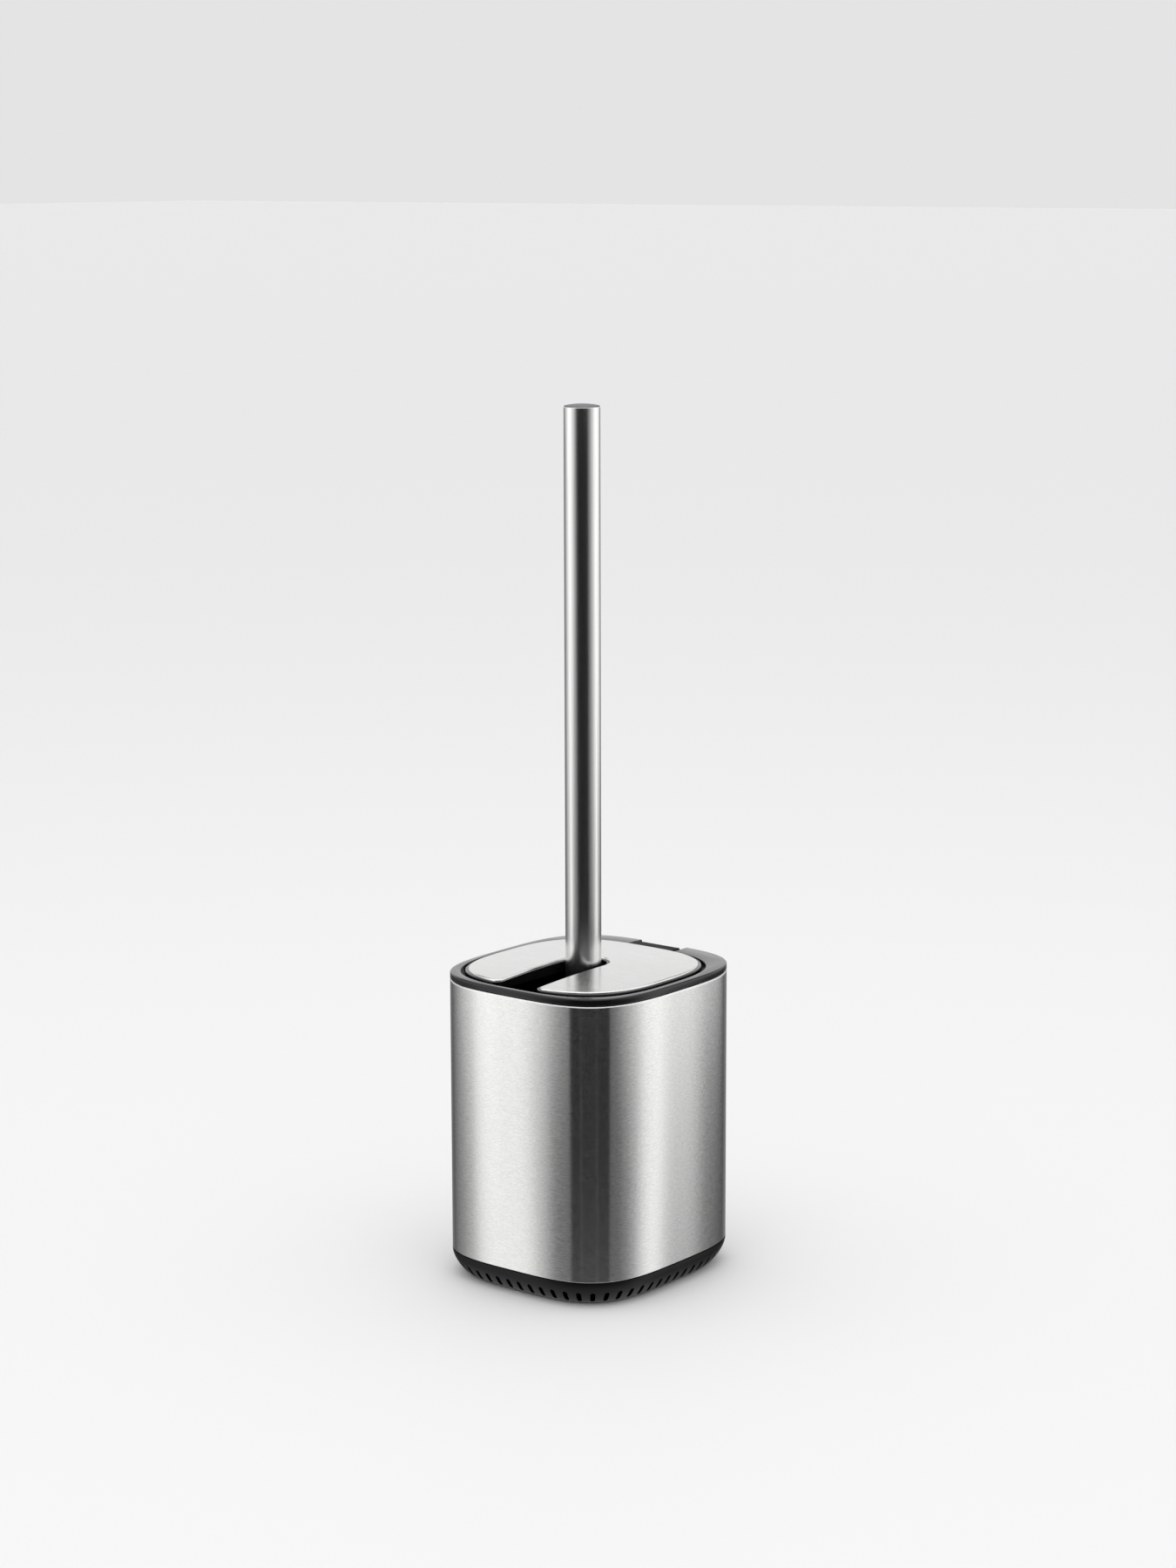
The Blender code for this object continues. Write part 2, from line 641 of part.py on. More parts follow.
def slot_outline(edge):
    """The slot from its round end out past the lid's front, drawn in by the frame's edge."""
    half = SLOT_HALF - edge
    corner = MOUTH_RADIUS + edge
    corner_x = SLOT_HALF + MOUTH_RADIUS
    front = PLATE.front_at(corner_x)
    corner_y = front + MOUTH_RADIUS
    beyond = OPENING_FRONT - PAST
    side = corner_x + MOUTH_RADIUS
    points = []
    for i in range(2 * CORNER_STEPS + 1):
        turn = math.pi * i / (2 * CORNER_STEPS)
        points.append((-half * math.cos(turn), SLOT_Y + half * math.sin(turn)))
    for i in range(CORNER_STEPS + 1):
        turn = math.pi / 2 * i / CORNER_STEPS
        points.append((corner_x - corner * math.cos(turn), corner_y - corner * math.sin(turn)))
    points += [(side, corner_y - corner), (side, beyond)]
    mouth = [(-x, y) for x, y in reversed(points[2 * CORNER_STEPS + 1:])]
    return points + mouth


def dome(plan, edge_z, rise):
    """Sections of a shallow dome that starts at an outline."""
    sections = []
    for share in DOME_SHARES:
        inner = Plan(plan.half_x * share, plan.half_y * share, plan.centre_y, plan.power)
        sections.append((inner, edge_z + rise * (1 - share ** 2)))
    return sections


def lid_frame():
    """The lid's black frame, with the hinge tab and barrel at its back."""
    made = loft("lid_frame", [(FRAME, FRAME_BOTTOM)] + dome(FRAME, FRAME_TOP, DOME_RISE))
    tab_top, tab_low = RIM_TOP, RIM_TOP - TAB_THICKNESS
    tab_front = FRAME.back_at(0) - TAB_UNDER
    tab_back = HINGE_Y - TAB_SETBACK
    tab_width = BARREL_LENGTH - 2 * GAP
    centre = (0, (tab_front + tab_back) / 2, (tab_top + tab_low) / 2)
    join(made, blocks("lid_tab", [(centre, (tab_width, tab_back - tab_front, TAB_THICKNESS), 0.0)]))
    join(made, cross_cylinder("lid_barrel", BARREL_RADIUS, BARREL_LENGTH, HINGE_Y, HINGE_Z))
    through = BARREL_LENGTH + LID_GAP
    cut(made, cross_cylinder("lid_pin_bore", PIN_RADIUS + GAP, through, HINGE_Y, HINGE_Z, SMALL_STEPS))
    above = FRAME_TOP + 2 * DOME_RISE
    cut(made, outline_prism("frame_slot", slot_outline(FRAME_EDGE), FRAME_BOTTOM - LID_GAP, above))
    pocket_top = FRAME_BOTTOM + BUMPER_HEIGHT - BUMPER_STANDS + GAP
    cut(made, cylinders(
        "bumper_pockets", bumper_places(), BUMPER_RADIUS + GAP, FRAME_BOTTOM - LID_GAP, pocket_top,
    ))
    return part(made, BLACK_PLASTIC, LID_PIVOT)


def lid_plate():
    """The domed stainless plate on the frame."""
    underside = dome(PLATE, PLATE_BOTTOM, DOME_RISE)
    topside = dome(PLATE, PLATE_BOTTOM + SHEET, DOME_RISE)
    made = loft("lid_plate", list(reversed(underside)) + topside)
    above = PLATE_BOTTOM + 2 * DOME_RISE
    cut(made, outline_prism("plate_slot", slot_outline(0.0), PLATE_BOTTOM - LID_GAP, above))
    return part(made, BRUSHED_STEEL, LID_PIVOT)


def bumper_places():
    """Where the lid's bumpers meet the middle of the ledge, left and right of the slot's mouth."""
    middle = FRAME.inset(LEDGE_WIDTH / 2)
    return [middle.point(-BUMPER_TURN), middle.point(BUMPER_TURN - math.pi)]


def lid_bumpers():
    low = FRAME_BOTTOM - BUMPER_STANDS
    for number, place in enumerate(bumper_places(), 1):
        made = turned(f"lid_bumper_{number}", [
            (0.0, low + BUMPER_HEIGHT), (BUMPER_RADIUS, low + BUMPER_HEIGHT),
            *reversed(bevel_edge((BUMPER_RADIUS, low), GAP, -1, 1)), (0.0, low),
        ], steps=SMALL_STEPS)
        made.location = place
        part(made, BLACK_RUBBER, LID_PIVOT)


# Brush

def brush_part(name, profile, surface, closed=False):
    """A turned piece on the brush's axis."""
    made = turned(name, profile, closed=closed)
    made.location = (0.0, BRUSH_Y, 0.0)
    return part(made, surface, BRUSH_AXIS)


def handle_tube():
    """The steel tube, drawn in to a neck at its lower end."""
    top = BRUSH_TOP - CAP_RISE
    inner = HANDLE_RADIUS - HANDLE_WALL
    neck_inner = HANDLE_NECK_RADIUS - HANDLE_WALL
    edge = HANDLE_WALL / 2
    brush_part("handle_tube", [
        (HANDLE_RADIUS - edge, top), (HANDLE_RADIUS, top - edge), (HANDLE_RADIUS, NECK_TOP),
        (HANDLE_NECK_RADIUS, HANDLE_BOTTOM), (neck_inner, HANDLE_BOTTOM), (inner, NECK_TOP), (inner, top),
    ], POLISHED_STEEL, closed=True)


def handle_end_cap():
    """The domed cap that is pushed into the top of the tube."""
    top = BRUSH_TOP - CAP_RISE
    plug = HANDLE_RADIUS - HANDLE_WALL - GAP
    crown = []
    for i in range(CROWN_STEPS + 1):
        share = i / CROWN_STEPS
        crown.append((plug * share, top - CAP_FLANGE + (CAP_RISE + CAP_FLANGE) * (1 - share ** 2)))
    brush_part("handle_end_cap", crown + [(plug, top - CAP_PLUG), (0.0, top - CAP_PLUG)], GREY_PLASTIC)


def handle_plug():
    """The threaded insert in the lower end of the tube."""
    low, top = NECK_TOP + GAP, NECK_TOP + PLUG_LENGTH
    outer, inner = HANDLE_RADIUS - HANDLE_WALL - GAP, STEM_RADIUS + GAP
    profile = [(outer, top), (outer, low), (inner, low), (inner, top)]
    brush_part("handle_plug", profile, BLACK_PLASTIC, closed=True)


def stem():
    """The rod from the handle's insert down to the socket in the core."""
    top = HANDLE_BOTTOM + STEM_INTO_HANDLE
    brush_part("stem", [
        (0.0, top), *bevel_edge((STEM_RADIUS, top), GAP, -1, -1),
        *reversed(bevel_edge((STEM_RADIUS, SOCKET_BOTTOM + GAP), GAP, -1, 1)), (0.0, SOCKET_BOTTOM + GAP),
    ], BLACK_PLASTIC)


def stem_seal():
    """The rubber ring between the tube's end and the stem."""
    top = HANDLE_BOTTOM - GAP
    low = top - SEAL_HEIGHT
    inner, outer = STEM_RADIUS + GAP, STEM_RADIUS + SEAL_LIP
    brush_part("stem_seal", [
        (outer, top), (outer, low + GAP), (outer - GAP, low), (inner, low), (inner, top),
    ], BLACK_RUBBER, closed=True)


def head_core():
    """The core that the bristles are set in, with a socket for the stem."""
    shoulder = SOCKET_BOTTOM - CORE_NECK_RADIUS / 2
    socket = STEM_RADIUS + GAP
    tip = []
    for i in range(CORNER_STEPS + 1):
        turn = math.pi / 2 * i / CORNER_STEPS
        tip.append((CORE_RADIUS * math.cos(turn), CORE_BOTTOM + CORE_RADIUS * (1 - math.sin(turn))))
    tip[-1] = (0.0, CORE_BOTTOM)
    brush_part("head_core", [
        (0.0, SOCKET_BOTTOM), (socket, SOCKET_BOTTOM), (socket, CORE_TOP), (CORE_NECK_RADIUS, CORE_TOP),
        (CORE_NECK_RADIUS, SOCKET_BOTTOM), (CORE_RADIUS, shoulder), *tip,
    ], BLACK_PLASTIC)


def head_bristles():
    """The bristles as one soft block round the core."""
    half = HEAD_LENGTH / 2
    middle = HEAD_BOTTOM + half
    bore = CORE_RADIUS + GAP
    outside = []
    for i in range(BRISTLE_STEPS + 1):
        turn = math.pi * (0.5 - i / BRISTLE_STEPS)
        radius = HEAD_RADIUS * abs(math.cos(turn)) ** (2 / HEAD_POWER)
        height = math.copysign(abs(math.sin(turn)) ** (2 / HEAD_POWER), turn) * half
        outside.append((radius, middle + height))
    outside = [(r, z) for r, z in outside if r > bore or z < middle]
    outside[-1] = (0.0, HEAD_BOTTOM)
    neck = [(bore, HEAD_TOP - GAP)]
    bowl = []
    for i in range(CORNER_STEPS + 1):
        turn = math.pi / 2 * i / CORNER_STEPS
        bowl.append((bore * math.sin(turn), CORE_BOTTOM + CORE_RADIUS - bore * math.cos(turn)))
    bowl[0] = (0.0, CORE_BOTTOM - GAP)
    brush_part("head_bristles", neck + outside + bowl, BRISTLE_NYLON, closed=True)


def main():
    outer_shell()
    inner_sleeve()
    top_collar()
    vented_base()
    drip_cup()
    base_screws()
    foot_pads()
    hinge_pin()
    lid_frame()
    lid_plate()
    lid_bumpers()
    handle_tube()
    handle_end_cap()
    handle_plug()
    stem()
    stem_seal()
    head_core()
    head_bristles()


main()
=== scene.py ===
"""Looks of a toilet brush holder: a brushed steel canister, its slotted lid and the brush that stands in it.

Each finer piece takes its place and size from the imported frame. Units are metres, +Z is up, the slot in
the lid opens at the front (-Y) and the lid's hinge is at the back (+Y).
"""

import math
import random

import bpy
from mathutils import Matrix, Vector


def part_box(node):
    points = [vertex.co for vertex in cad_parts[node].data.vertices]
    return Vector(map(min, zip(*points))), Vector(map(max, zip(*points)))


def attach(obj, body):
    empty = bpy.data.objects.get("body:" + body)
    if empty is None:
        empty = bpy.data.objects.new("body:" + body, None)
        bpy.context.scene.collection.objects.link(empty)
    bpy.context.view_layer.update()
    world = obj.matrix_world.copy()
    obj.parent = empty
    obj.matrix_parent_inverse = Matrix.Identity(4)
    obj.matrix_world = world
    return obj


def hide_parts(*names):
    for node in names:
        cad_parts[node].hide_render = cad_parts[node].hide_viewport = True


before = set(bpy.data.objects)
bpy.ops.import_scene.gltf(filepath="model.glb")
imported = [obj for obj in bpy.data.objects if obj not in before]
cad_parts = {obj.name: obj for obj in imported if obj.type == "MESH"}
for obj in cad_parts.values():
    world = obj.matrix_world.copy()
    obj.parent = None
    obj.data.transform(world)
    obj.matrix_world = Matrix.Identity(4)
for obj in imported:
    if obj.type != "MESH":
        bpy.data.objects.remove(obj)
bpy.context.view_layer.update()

MM = 0.001
HAIR = 0.02 * MM             # a step too small to see, which keeps faces apart
FIT = 0.3 * MM               # clearance between pieces that seat on each other
OVERLAP = 0.6 * MM           # how far a cutting or joining shape runs past the face it meets

# The canister and the lid are rounded squares in plan: a power of 2 is an ellipse, and more is squarer
BODY_POWER = 3.5
LID_POWER = 3.0

SHEET = 0.6 * MM             # steel of the shell and the lid
RIM_SIDE = 3.6 * MM          # width of the collar's rim beside, before and behind the lid
RIM_FRONT = 3.0 * MM
RIM_BACK = 11.8 * MM
RIM_HEIGHT = 3.3 * MM
LID_GAP = 2.0 * MM
LEDGE_WIDTH = 6.0 * MM
LEDGE_THICKNESS = 2.0 * MM
FRAME_EDGE = 1.4 * MM        # black edge of the lid's frame round its steel plate
FRAME_THICKNESS = 3.5 * MM
DOME_RISE = 1.6 * MM
PLATE_THICKNESS = 0.82 * MM
SLOT_HALF = 12.3 * MM        # in the plate
MOUTH_RADIUS = 3.2 * MM
BASE_INSET = 6.0 * MM        # how far the base draws in from the shell to its underside
BASE_CURVE = 1.8
BASE_WALL = 2.2 * MM
BASE_FLOOR = 2.0 * MM
PLUG_WALL = 1.5 * MM         # wall of the parts of the base and the collar that plug into the sleeve
SLEEVE_WALL = 1.5 * MM
POST_RADIUS = 4.0 * MM       # bosses and posts of the base's screws
HOLE_RADIUS = 1.7 * MM
HOLE_STEPS = 24
PIN_BORE = 1.8 * MM          # radius of the bores that take the hinge's pin
NOTCH_HALF = 14.7 * MM       # half widths of the hinge's notch, and of the tab and barrel in it
TAB_HALF = 14.1 * MM
BARREL_HALF = 14.4 * MM
BARREL_RADIUS = 3.2 * MM
STEM_BORE = 5.3 * MM         # radius of the bores that take the stem
CAP_DROP = 0.4 * MM          # how far the tube's end lies below its own box, under the cap's flange
VENT_PITCH = 6.8 * MM
VENT_WIDTH = 2.6 * MM
VENT_BOTTOM = 1.9 * MM
VENT_TOP = 7.5 * MM
VENT_DEPTH = 7.0 * MM

SIDE_STEPS = 44              # points along each rounded corner of a body outline
TURN_STEPS = 96              # points round a large turned piece
SMALL_STEPS = 40
STEM_STEPS = 64

SHELL_LOW, SHELL_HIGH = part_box("outer_shell")
COLLAR_LOW, COLLAR_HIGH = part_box("top_collar")
SLEEVE_LOW, SLEEVE_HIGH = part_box("inner_sleeve")
BASE_LOW, BASE_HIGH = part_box("vented_base")
PIN_LOW, PIN_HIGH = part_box("hinge_pin")
STEM_LOW, STEM_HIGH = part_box("stem")

RIM_TOP = COLLAR_HIGH.z
BRUSH_Y = (STEM_LOW.y + STEM_HIGH.y) / 2
HINGE_Y = (PIN_LOW.y + PIN_HIGH.y) / 2
HINGE_Z = (PIN_LOW.z + PIN_HIGH.z) / 2


# Outlines

class Plan:
    """A rounded square seen from above, by its half width, half depth, middle and power."""

    def __init__(self, half_x, half_y, middle_y, power):
        self.half_x = half_x
        self.half_y = half_y
        self.middle_y = middle_y
        self.power = power

    def inset(self, distance):
        return Plan(self.half_x - distance, self.half_y - distance, self.middle_y, self.power)

    def point(self, turn, z=0.0):
        """The outline's point at a turn in radians, from +X towards +Y."""
        c, s = math.cos(turn), math.sin(turn)
        x = math.copysign(abs(c) ** (2 / self.power), c) * self.half_x
        y = math.copysign(abs(s) ** (2 / self.power), s) * self.half_y
        return Vector((x, self.middle_y + y, z))

    def share(self, point):
        """How far out a point lies, from 0 in the middle to 1 on the outline."""
        x, y = abs(point.x) / self.half_x, abs(point.y - self.middle_y) / self.half_y
        return (x ** self.power + y ** self.power) ** (1 / self.power)

    def front_at(self, x):
        return self.middle_y - self.half_y * (1 - (abs(x) / self.half_x) ** self.power) ** (1 / self.power)

    def evenly(self, pitch):
        """Points about a pitch apart along the outline, each with its outward direction in plan."""
        fine = 7200
        trace = [self.point(2 * math.pi * i / fine) for i in range(fine + 1)]
        lengths = [0.0]
        for a, b in zip(trace, trace[1:]):
            lengths.append(lengths[-1] + (b - a).length)
        count = round(lengths[-1] / pitch)
        found, at = [], 0
        for number in range(count):
            while lengths[at + 1] < number * lengths[-1] / count:
                at += 1
            along = trace[at + 1] - trace[at]
            found.append((trace[at], Vector((along.y, -along.x, 0)).normalized()))
        return found


BODY = Plan(SHELL_HIGH.x, SHELL_HIGH.y, 0.0, BODY_POWER)
SLEEVE = Plan(SLEEVE_HIGH.x, SLEEVE_HIGH.y, 0.0, BODY_POWER)
INSIDE_SLEEVE = SLEEVE.inset(SLEEVE_WALL + FIT)
PLUG = BODY.half_x - INSIDE_SLEEVE.half_x
OPENING_FRONT = RIM_FRONT - BODY.half_y
OPENING_BACK = BODY.half_y - RIM_BACK
OPENING_HALF_Y = (OPENING_BACK - OPENING_FRONT) / 2
OPENING = Plan(BODY.half_x - RIM_SIDE, OPENING_HALF_Y, (OPENING_BACK + OPENING_FRONT) / 2, LID_POWER)
LID = OPENING.inset(LID_GAP)
PLATE = LID.inset(FRAME_EDGE)
THROAT = LID.inset(LEDGE_WIDTH)
FRAME_TOP = RIM_TOP + 0.5 * MM
FRAME_BOTTOM = FRAME_TOP - FRAME_THICKNESS
LEDGE_TOP = FRAME_BOTTOM - 1.4 * MM
SLOT_Y = BRUSH_Y + 1.5 * MM


# Modelling helpers

def deselect():
    bpy.ops.object.select_all(action="DESELECT")


def alone(piece):
    """Makes a piece the active one and the only one selected."""
    deselect()
    piece.select_set(True)
    bpy.context.view_layer.objects.active = piece


def select_mesh():
    bpy.ops.mesh.select_all(action="SELECT")


def edit(piece):
    """Opens a piece in edit mode, alone and with nothing selected."""
    alone(piece)
    bpy.ops.object.mode_set(mode="EDIT")
    bpy.ops.mesh.select_all(action="DESELECT")


def leave():
    bpy.ops.object.mode_set(mode="OBJECT")


def pick(piece, keep, kind="verts"):
    """Selects what a rule keeps: it's given a vertex's place, an edge's two ends or a whole face."""
    leave()
    mesh = piece.data
    bpy.ops.object.mode_set(mode="EDIT")
    bpy.ops.mesh.select_mode(type={"verts": "VERT", "edges": "EDGE", "faces": "FACE"}[kind])
    bpy.ops.mesh.select_all(action="DESELECT")
    leave()
    if kind == "verts":
        for vertex in mesh.vertices:
            vertex.select = keep(vertex.co)
    elif kind == "faces":
        for face in mesh.polygons:
            face.select = keep(face)
    else:
        for edge in mesh.edges:
            a, b = (mesh.vertices[index].co for index in edge.vertices)
            edge.select = keep(a, b)
    bpy.ops.object.mode_set(mode="EDIT")


def settle(piece):
    """Puts a piece's place into its mesh."""
    alone(piece)
    bpy.ops.object.transform_apply(location=True, rotation=True, scale=True)


def start_rounded_square(name, plan, z):
    """A flat rounded square, left in edit mode: a plane whose corners are rounded up to mid-side."""
    deselect()
    bpy.ops.mesh.primitive_plane_add(size=2)
    piece = bpy.context.object
    piece.name = name
    bpy.ops.object.mode_set(mode="EDIT")
    select_mesh()
    bpy.ops.mesh.bevel(
        offset_type="OFFSET", offset=1.0, segments=SIDE_STEPS, profile=2 ** (-2 / plan.power),
        affect="VERTICES", clamp_overlap=False,
    )
    select_mesh()
    bpy.ops.mesh.remove_doubles(threshold=0.0005)    # in shares of the half width, before it is sized
    select_mesh()
    bpy.ops.transform.resize(value=(plan.half_x, plan.half_y, 1), center_override=(0, 0, 0))
    bpy.ops.transform.translate(value=(0, plan.middle_y, z))
    return piece


def start_disc(name, radius, z, steps, x, y):
    """A flat disc, left in edit mode."""
    deselect()
    bpy.ops.mesh.primitive_circle_add(vertices=steps, radius=radius, fill_type="NGON", location=(0, 0, 0))
    piece = bpy.context.object
    piece.name = name
    bpy.ops.object.mode_set(mode="EDIT")
    select_mesh()
    bpy.ops.transform.translate(value=(x, y, z))
    return piece


def raise_through(levels, x, y):
    """Extrudes the selected face from one level to the next, each as (half width, half depth, z)."""
    for (wide, deep, low), (next_wide, next_deep, high) in zip(levels, levels[1:]):
        bpy.ops.mesh.extrude_region_move(TRANSFORM_OT_translate={"value": (0, 0, high - low)})
        bpy.ops.transform.resize(value=(next_wide / wide, next_deep / deep, 1), center_override=(x, y, high))


def close(piece, ring):
    """Ends a raised piece. A ring's last level lies on its first, so both caps go and the ends are joined."""
    if ring:
        bpy.ops.mesh.select_all(action="DESELECT")
        bpy.ops.mesh.select_mode(type="FACE")
        bpy.ops.mesh.select_face_by_sides(number=4, type="GREATER")
        bpy.ops.mesh.delete(type="ONLY_FACE")
        select_mesh()
        bpy.ops.mesh.remove_doubles(threshold=HAIR / 4)
    select_mesh()
    bpy.ops.mesh.normals_make_consistent(inside=False)
    leave()
    return piece


def rounded_loft(name, plan, levels, ring=False):
    """A rounded-square solid raised through levels given as (inset, z)."""
    sizes = [(plan.half_x - inset, plan.half_y - inset, z) for inset, z in levels]
    piece = start_rounded_square(name, plan.inset(levels[0][0]), levels[0][1])
    raise_through(sizes, 0.0, plan.middle_y)
    return close(piece, ring)


def turned(name, profile, steps=TURN_STEPS, ring=False, x=0.0, y=BRUSH_Y):
    """A turned piece on an upright axis, the brush's unless given, raised through (radius, z) levels."""
    sizes = [(radius, radius, z) for radius, z in profile]
    piece = start_disc(name, profile[0][0], profile[0][1], steps, x, y)
    raise_through(sizes, x, y)
    return close(piece, ring)


def corner(inset, z, across, along, start, end, steps=5):
    """Levels that round an edge: an ellipse's arc about a centre, where 0 points out and 90 up."""
    levels = []
    for i in range(steps + 1):
        turn = math.radians(start + (end - start) * i / steps)
        levels.append((inset - across * math.cos(turn), z + along * math.sin(turn)))
    return levels


def arc(radius, z, across, along, start, end, steps=5):
    """The same as radii for a turned piece, which grow outwards where insets shrink."""
    return [(-inset, z) for inset, z in corner(-radius, z, across, along, start, end, steps)]


def combine(piece, other, operation="DIFFERENCE"):
    """Cuts a shape from a piece, or joins it, and removes the shape."""
    alone(piece)
    bpy.ops.object.modifier_add(type="BOOLEAN")
    modifier = piece.modifiers[-1]
    modifier.operation = operation
    modifier.solver = "EXACT"
    modifier.object = other
    bpy.ops.object.modifier_apply(modifier=modifier.name)
    bpy.data.objects.remove(other)


def bevelled(piece, width, angle):
    """Rounds the edges that are sharper than an angle in degrees."""
    alone(piece)
    bpy.ops.object.modifier_add(type="BEVEL")
    modifier = piece.modifiers[-1]
    modifier.width = width
    modifier.segments = 3
    modifier.limit_method = "ANGLE"
    modifier.angle_limit = math.radians(angle)
    bpy.ops.object.modifier_apply(modifier=modifier.name)
    return piece


def block(name, low, high):
    """A box between two corners."""
    deselect()
    middle = [(a + b) / 2 for a, b in zip(low, high)]
    bpy.ops.mesh.primitive_cube_add(size=1, location=middle)
    piece = bpy.context.object
    piece.name = name
    piece.scale = [b - a for a, b in zip(low, high)]
    settle(piece)
    return piece


def rod(name, radius, length, middle, axis="Z", steps=SMALL_STEPS):
    deselect()
    turn = {"X": (0, math.pi / 2, 0), "Y": (math.pi / 2, 0, 0), "Z": (0, 0, 0)}[axis]
    bpy.ops.mesh.primitive_cylinder_add(
        vertices=steps, radius=radius, depth=length, location=middle, rotation=turn,
    )
    piece = bpy.context.object
    piece.name = name
    settle(piece)
    return piece


def joined(pieces, name):
    deselect()
    for piece in pieces:
        piece.select_set(True)
    bpy.context.view_layer.objects.active = pieces[0]
    bpy.ops.object.join()
    made = bpy.context.object
    made.name = name
    return made


def finished(piece, surface, body, slot, *nodes, angle=32):
    """Gives a piece its shading, material and body, and lets it stand for its CAD nodes. The slot is not
    used.
    """
    alone(piece)
    bpy.ops.object.shade_smooth_by_angle(angle=math.radians(angle))
    piece.data.materials.clear()
    piece.data.materials.append(surface)
    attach(piece, body)
    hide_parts(*nodes)


def own_copy(piece):
    """A copy with a mesh of its own."""
    copy = piece.copy()
    copy.data = piece.data.copy()
    bpy.context.scene.collection.objects.link(copy)
    return copy


def places(node_name, count):
    """The middles of the boxes of CAD nodes that are numbered from 1."""
    boxes = [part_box(f"{node_name}_{number}") for number in range(1, count + 1)]
    return [(low + high) / 2 for low, high in boxes]


def copied(piece, name, node_name, count, surface, body, slot):
    """Puts copies of a piece on numbered CAD nodes. The piece itself, made on the first node, goes."""
    found = places(node_name, count)
    for number, place in enumerate(found, 1):
        copy = own_copy(piece)
        copy.name = f"{name}_{number}"
        copy.location = place - found[0]
        settle(copy)
        finished(copy, surface, body, slot, f"{node_name}_{number}")
    bpy.data.objects.remove(piece)


# Materials

CLOUD = 16.7 * MM            # slow change of shade across a moulding
DUST = 1.11 * MM             # specks on rubber
PATCH = 2.0 * MM             # clouds in zinc plating
STRAND = 1.43 * MM           # change of shade from bristle to bristle


def linear(code, alpha=1.0):
    """An sRGB hex colour as the linear colour that shaders take."""
    values = [int(code[i:i + 2], 16) / 255 for i in (1, 3, 5)]
    return (*[v / 12.92 if v <= 0.04045 else ((v + 0.055) / 1.055) ** 2.4 for v in values], alpha)


def feed(tree, made, inputs):
    """Sets or links a node's inputs by name or number."""
    for name, value in inputs.items():
        if isinstance(value, bpy.types.NodeSocket):
            tree.links.new(value, made.inputs[name])
        else:
            made.inputs[name].default_value = value


def node(tree, kind, settings=None, inputs=None):
    """Adds a node, with its settings and its inputs."""
    made = tree.nodes.new(kind)
    for name, value in (settings or {}).items():
        setattr(made, name, value)
    feed(tree, made, inputs or {})
    return made


def blank(name):
    """A new material, with its tree and its Principled shader."""
    made = bpy.data.materials.new(name)
    made.use_nodes = True
    tree = made.node_tree
    return made, tree, tree.nodes["Principled BSDF"]


def noise(tree, sizes, detail, roughness=0.5):
    """Noise in the object's own coordinates, by the size of its pattern in X, Y and Z."""
    coordinates = node(tree, "ShaderNodeTexCoord")
    mapped = node(tree, "ShaderNodeMapping", {}, {
        "Vector": coordinates.outputs["Object"], "Scale": [1 / size for size in sizes],
    })
    return node(tree, "ShaderNodeTexNoise", {}, {
        "Vector": mapped.outputs["Vector"], "Scale": 1.0, "Detail": detail, "Roughness": roughness,
    }).outputs["Fac"]


def ramp(tree, factor, stops):
    made = node(tree, "ShaderNodeValToRGB", {}, {"Fac": factor})
    elements = made.color_ramp.elements
    while len(elements) < len(stops):
        elements.new(0.5)
    for element, (place, colour) in zip(elements, stops):
        element.position = place
        element.color = colour
    return made.outputs["Color"]


def shades(tree, factor, dark, light, start=0.3, end=0.7):
    """A colour that goes from dark to light over the middle of a noise's range."""
    return ramp(tree, factor, [(start, linear(dark)), (end, linear(light))])


def between(tree, factor, low, high, start=0.3, end=0.7):
    """A value that goes from low to high over the middle of a noise's range."""
    return node(tree, "ShaderNodeMapRange", {}, {
        "Value": factor, 1: start, 2: end, 3: low, 4: high,
    }).outputs["Result"]


def bumps(tree, height, strength, distance):
    return node(tree, "ShaderNodeBump", {}, {
        "Height": height, "Strength": strength, "Distance": distance,
    }).outputs["Normal"]


def brushed_steel(name, colours, roughness, scratch, anisotropy, rotation, tangent, depth):
    """Stainless steel brushed with abrasive belts.

    The fine parallel scratches spread a highlight across the grain and leave it sharp along the grain.
    scratch is a scratch's size in X, Y and Z. Real ones are about 0.05 mm wide, too fine to show in a view
    of the whole object, so they are drawn coarser.
    """
    made, tree, shader = blank(name)
    coarser = [size / 0.32 for size in scratch]
    mixed = node(tree, "ShaderNodeMix", {"data_type": "FLOAT"}, {
        0: 0.15, 2: noise(tree, scratch, 3.0, 0.6), 3: noise(tree, coarser, 2.0),
    }).outputs[0]
    feed(tree, shader, {
        "Base Color": shades(tree, mixed, *colours),
        "Roughness": between(tree, mixed, *roughness),
        "Normal": bumps(tree, mixed, depth, 0.05 * MM),
        "Tangent": tangent(tree),
        "Metallic": 1.0,
        "Anisotropic": anisotropy,
        "Anisotropic Rotation": rotation,
    })
    return made


def tangent_round(tree):
    return node(tree, "ShaderNodeTangent", {"direction_type": "RADIAL", "axis": "Z"}).outputs["Tangent"]


def tangent_across(tree):
    """The lid's grain runs across it, along the hinge, so it doesn't turn as the lid opens."""
    return node(tree, "ShaderNodeCombineXYZ", {}, {0: 1.0, 1: 0.0, 2: 0.0}).outputs["Vector"]


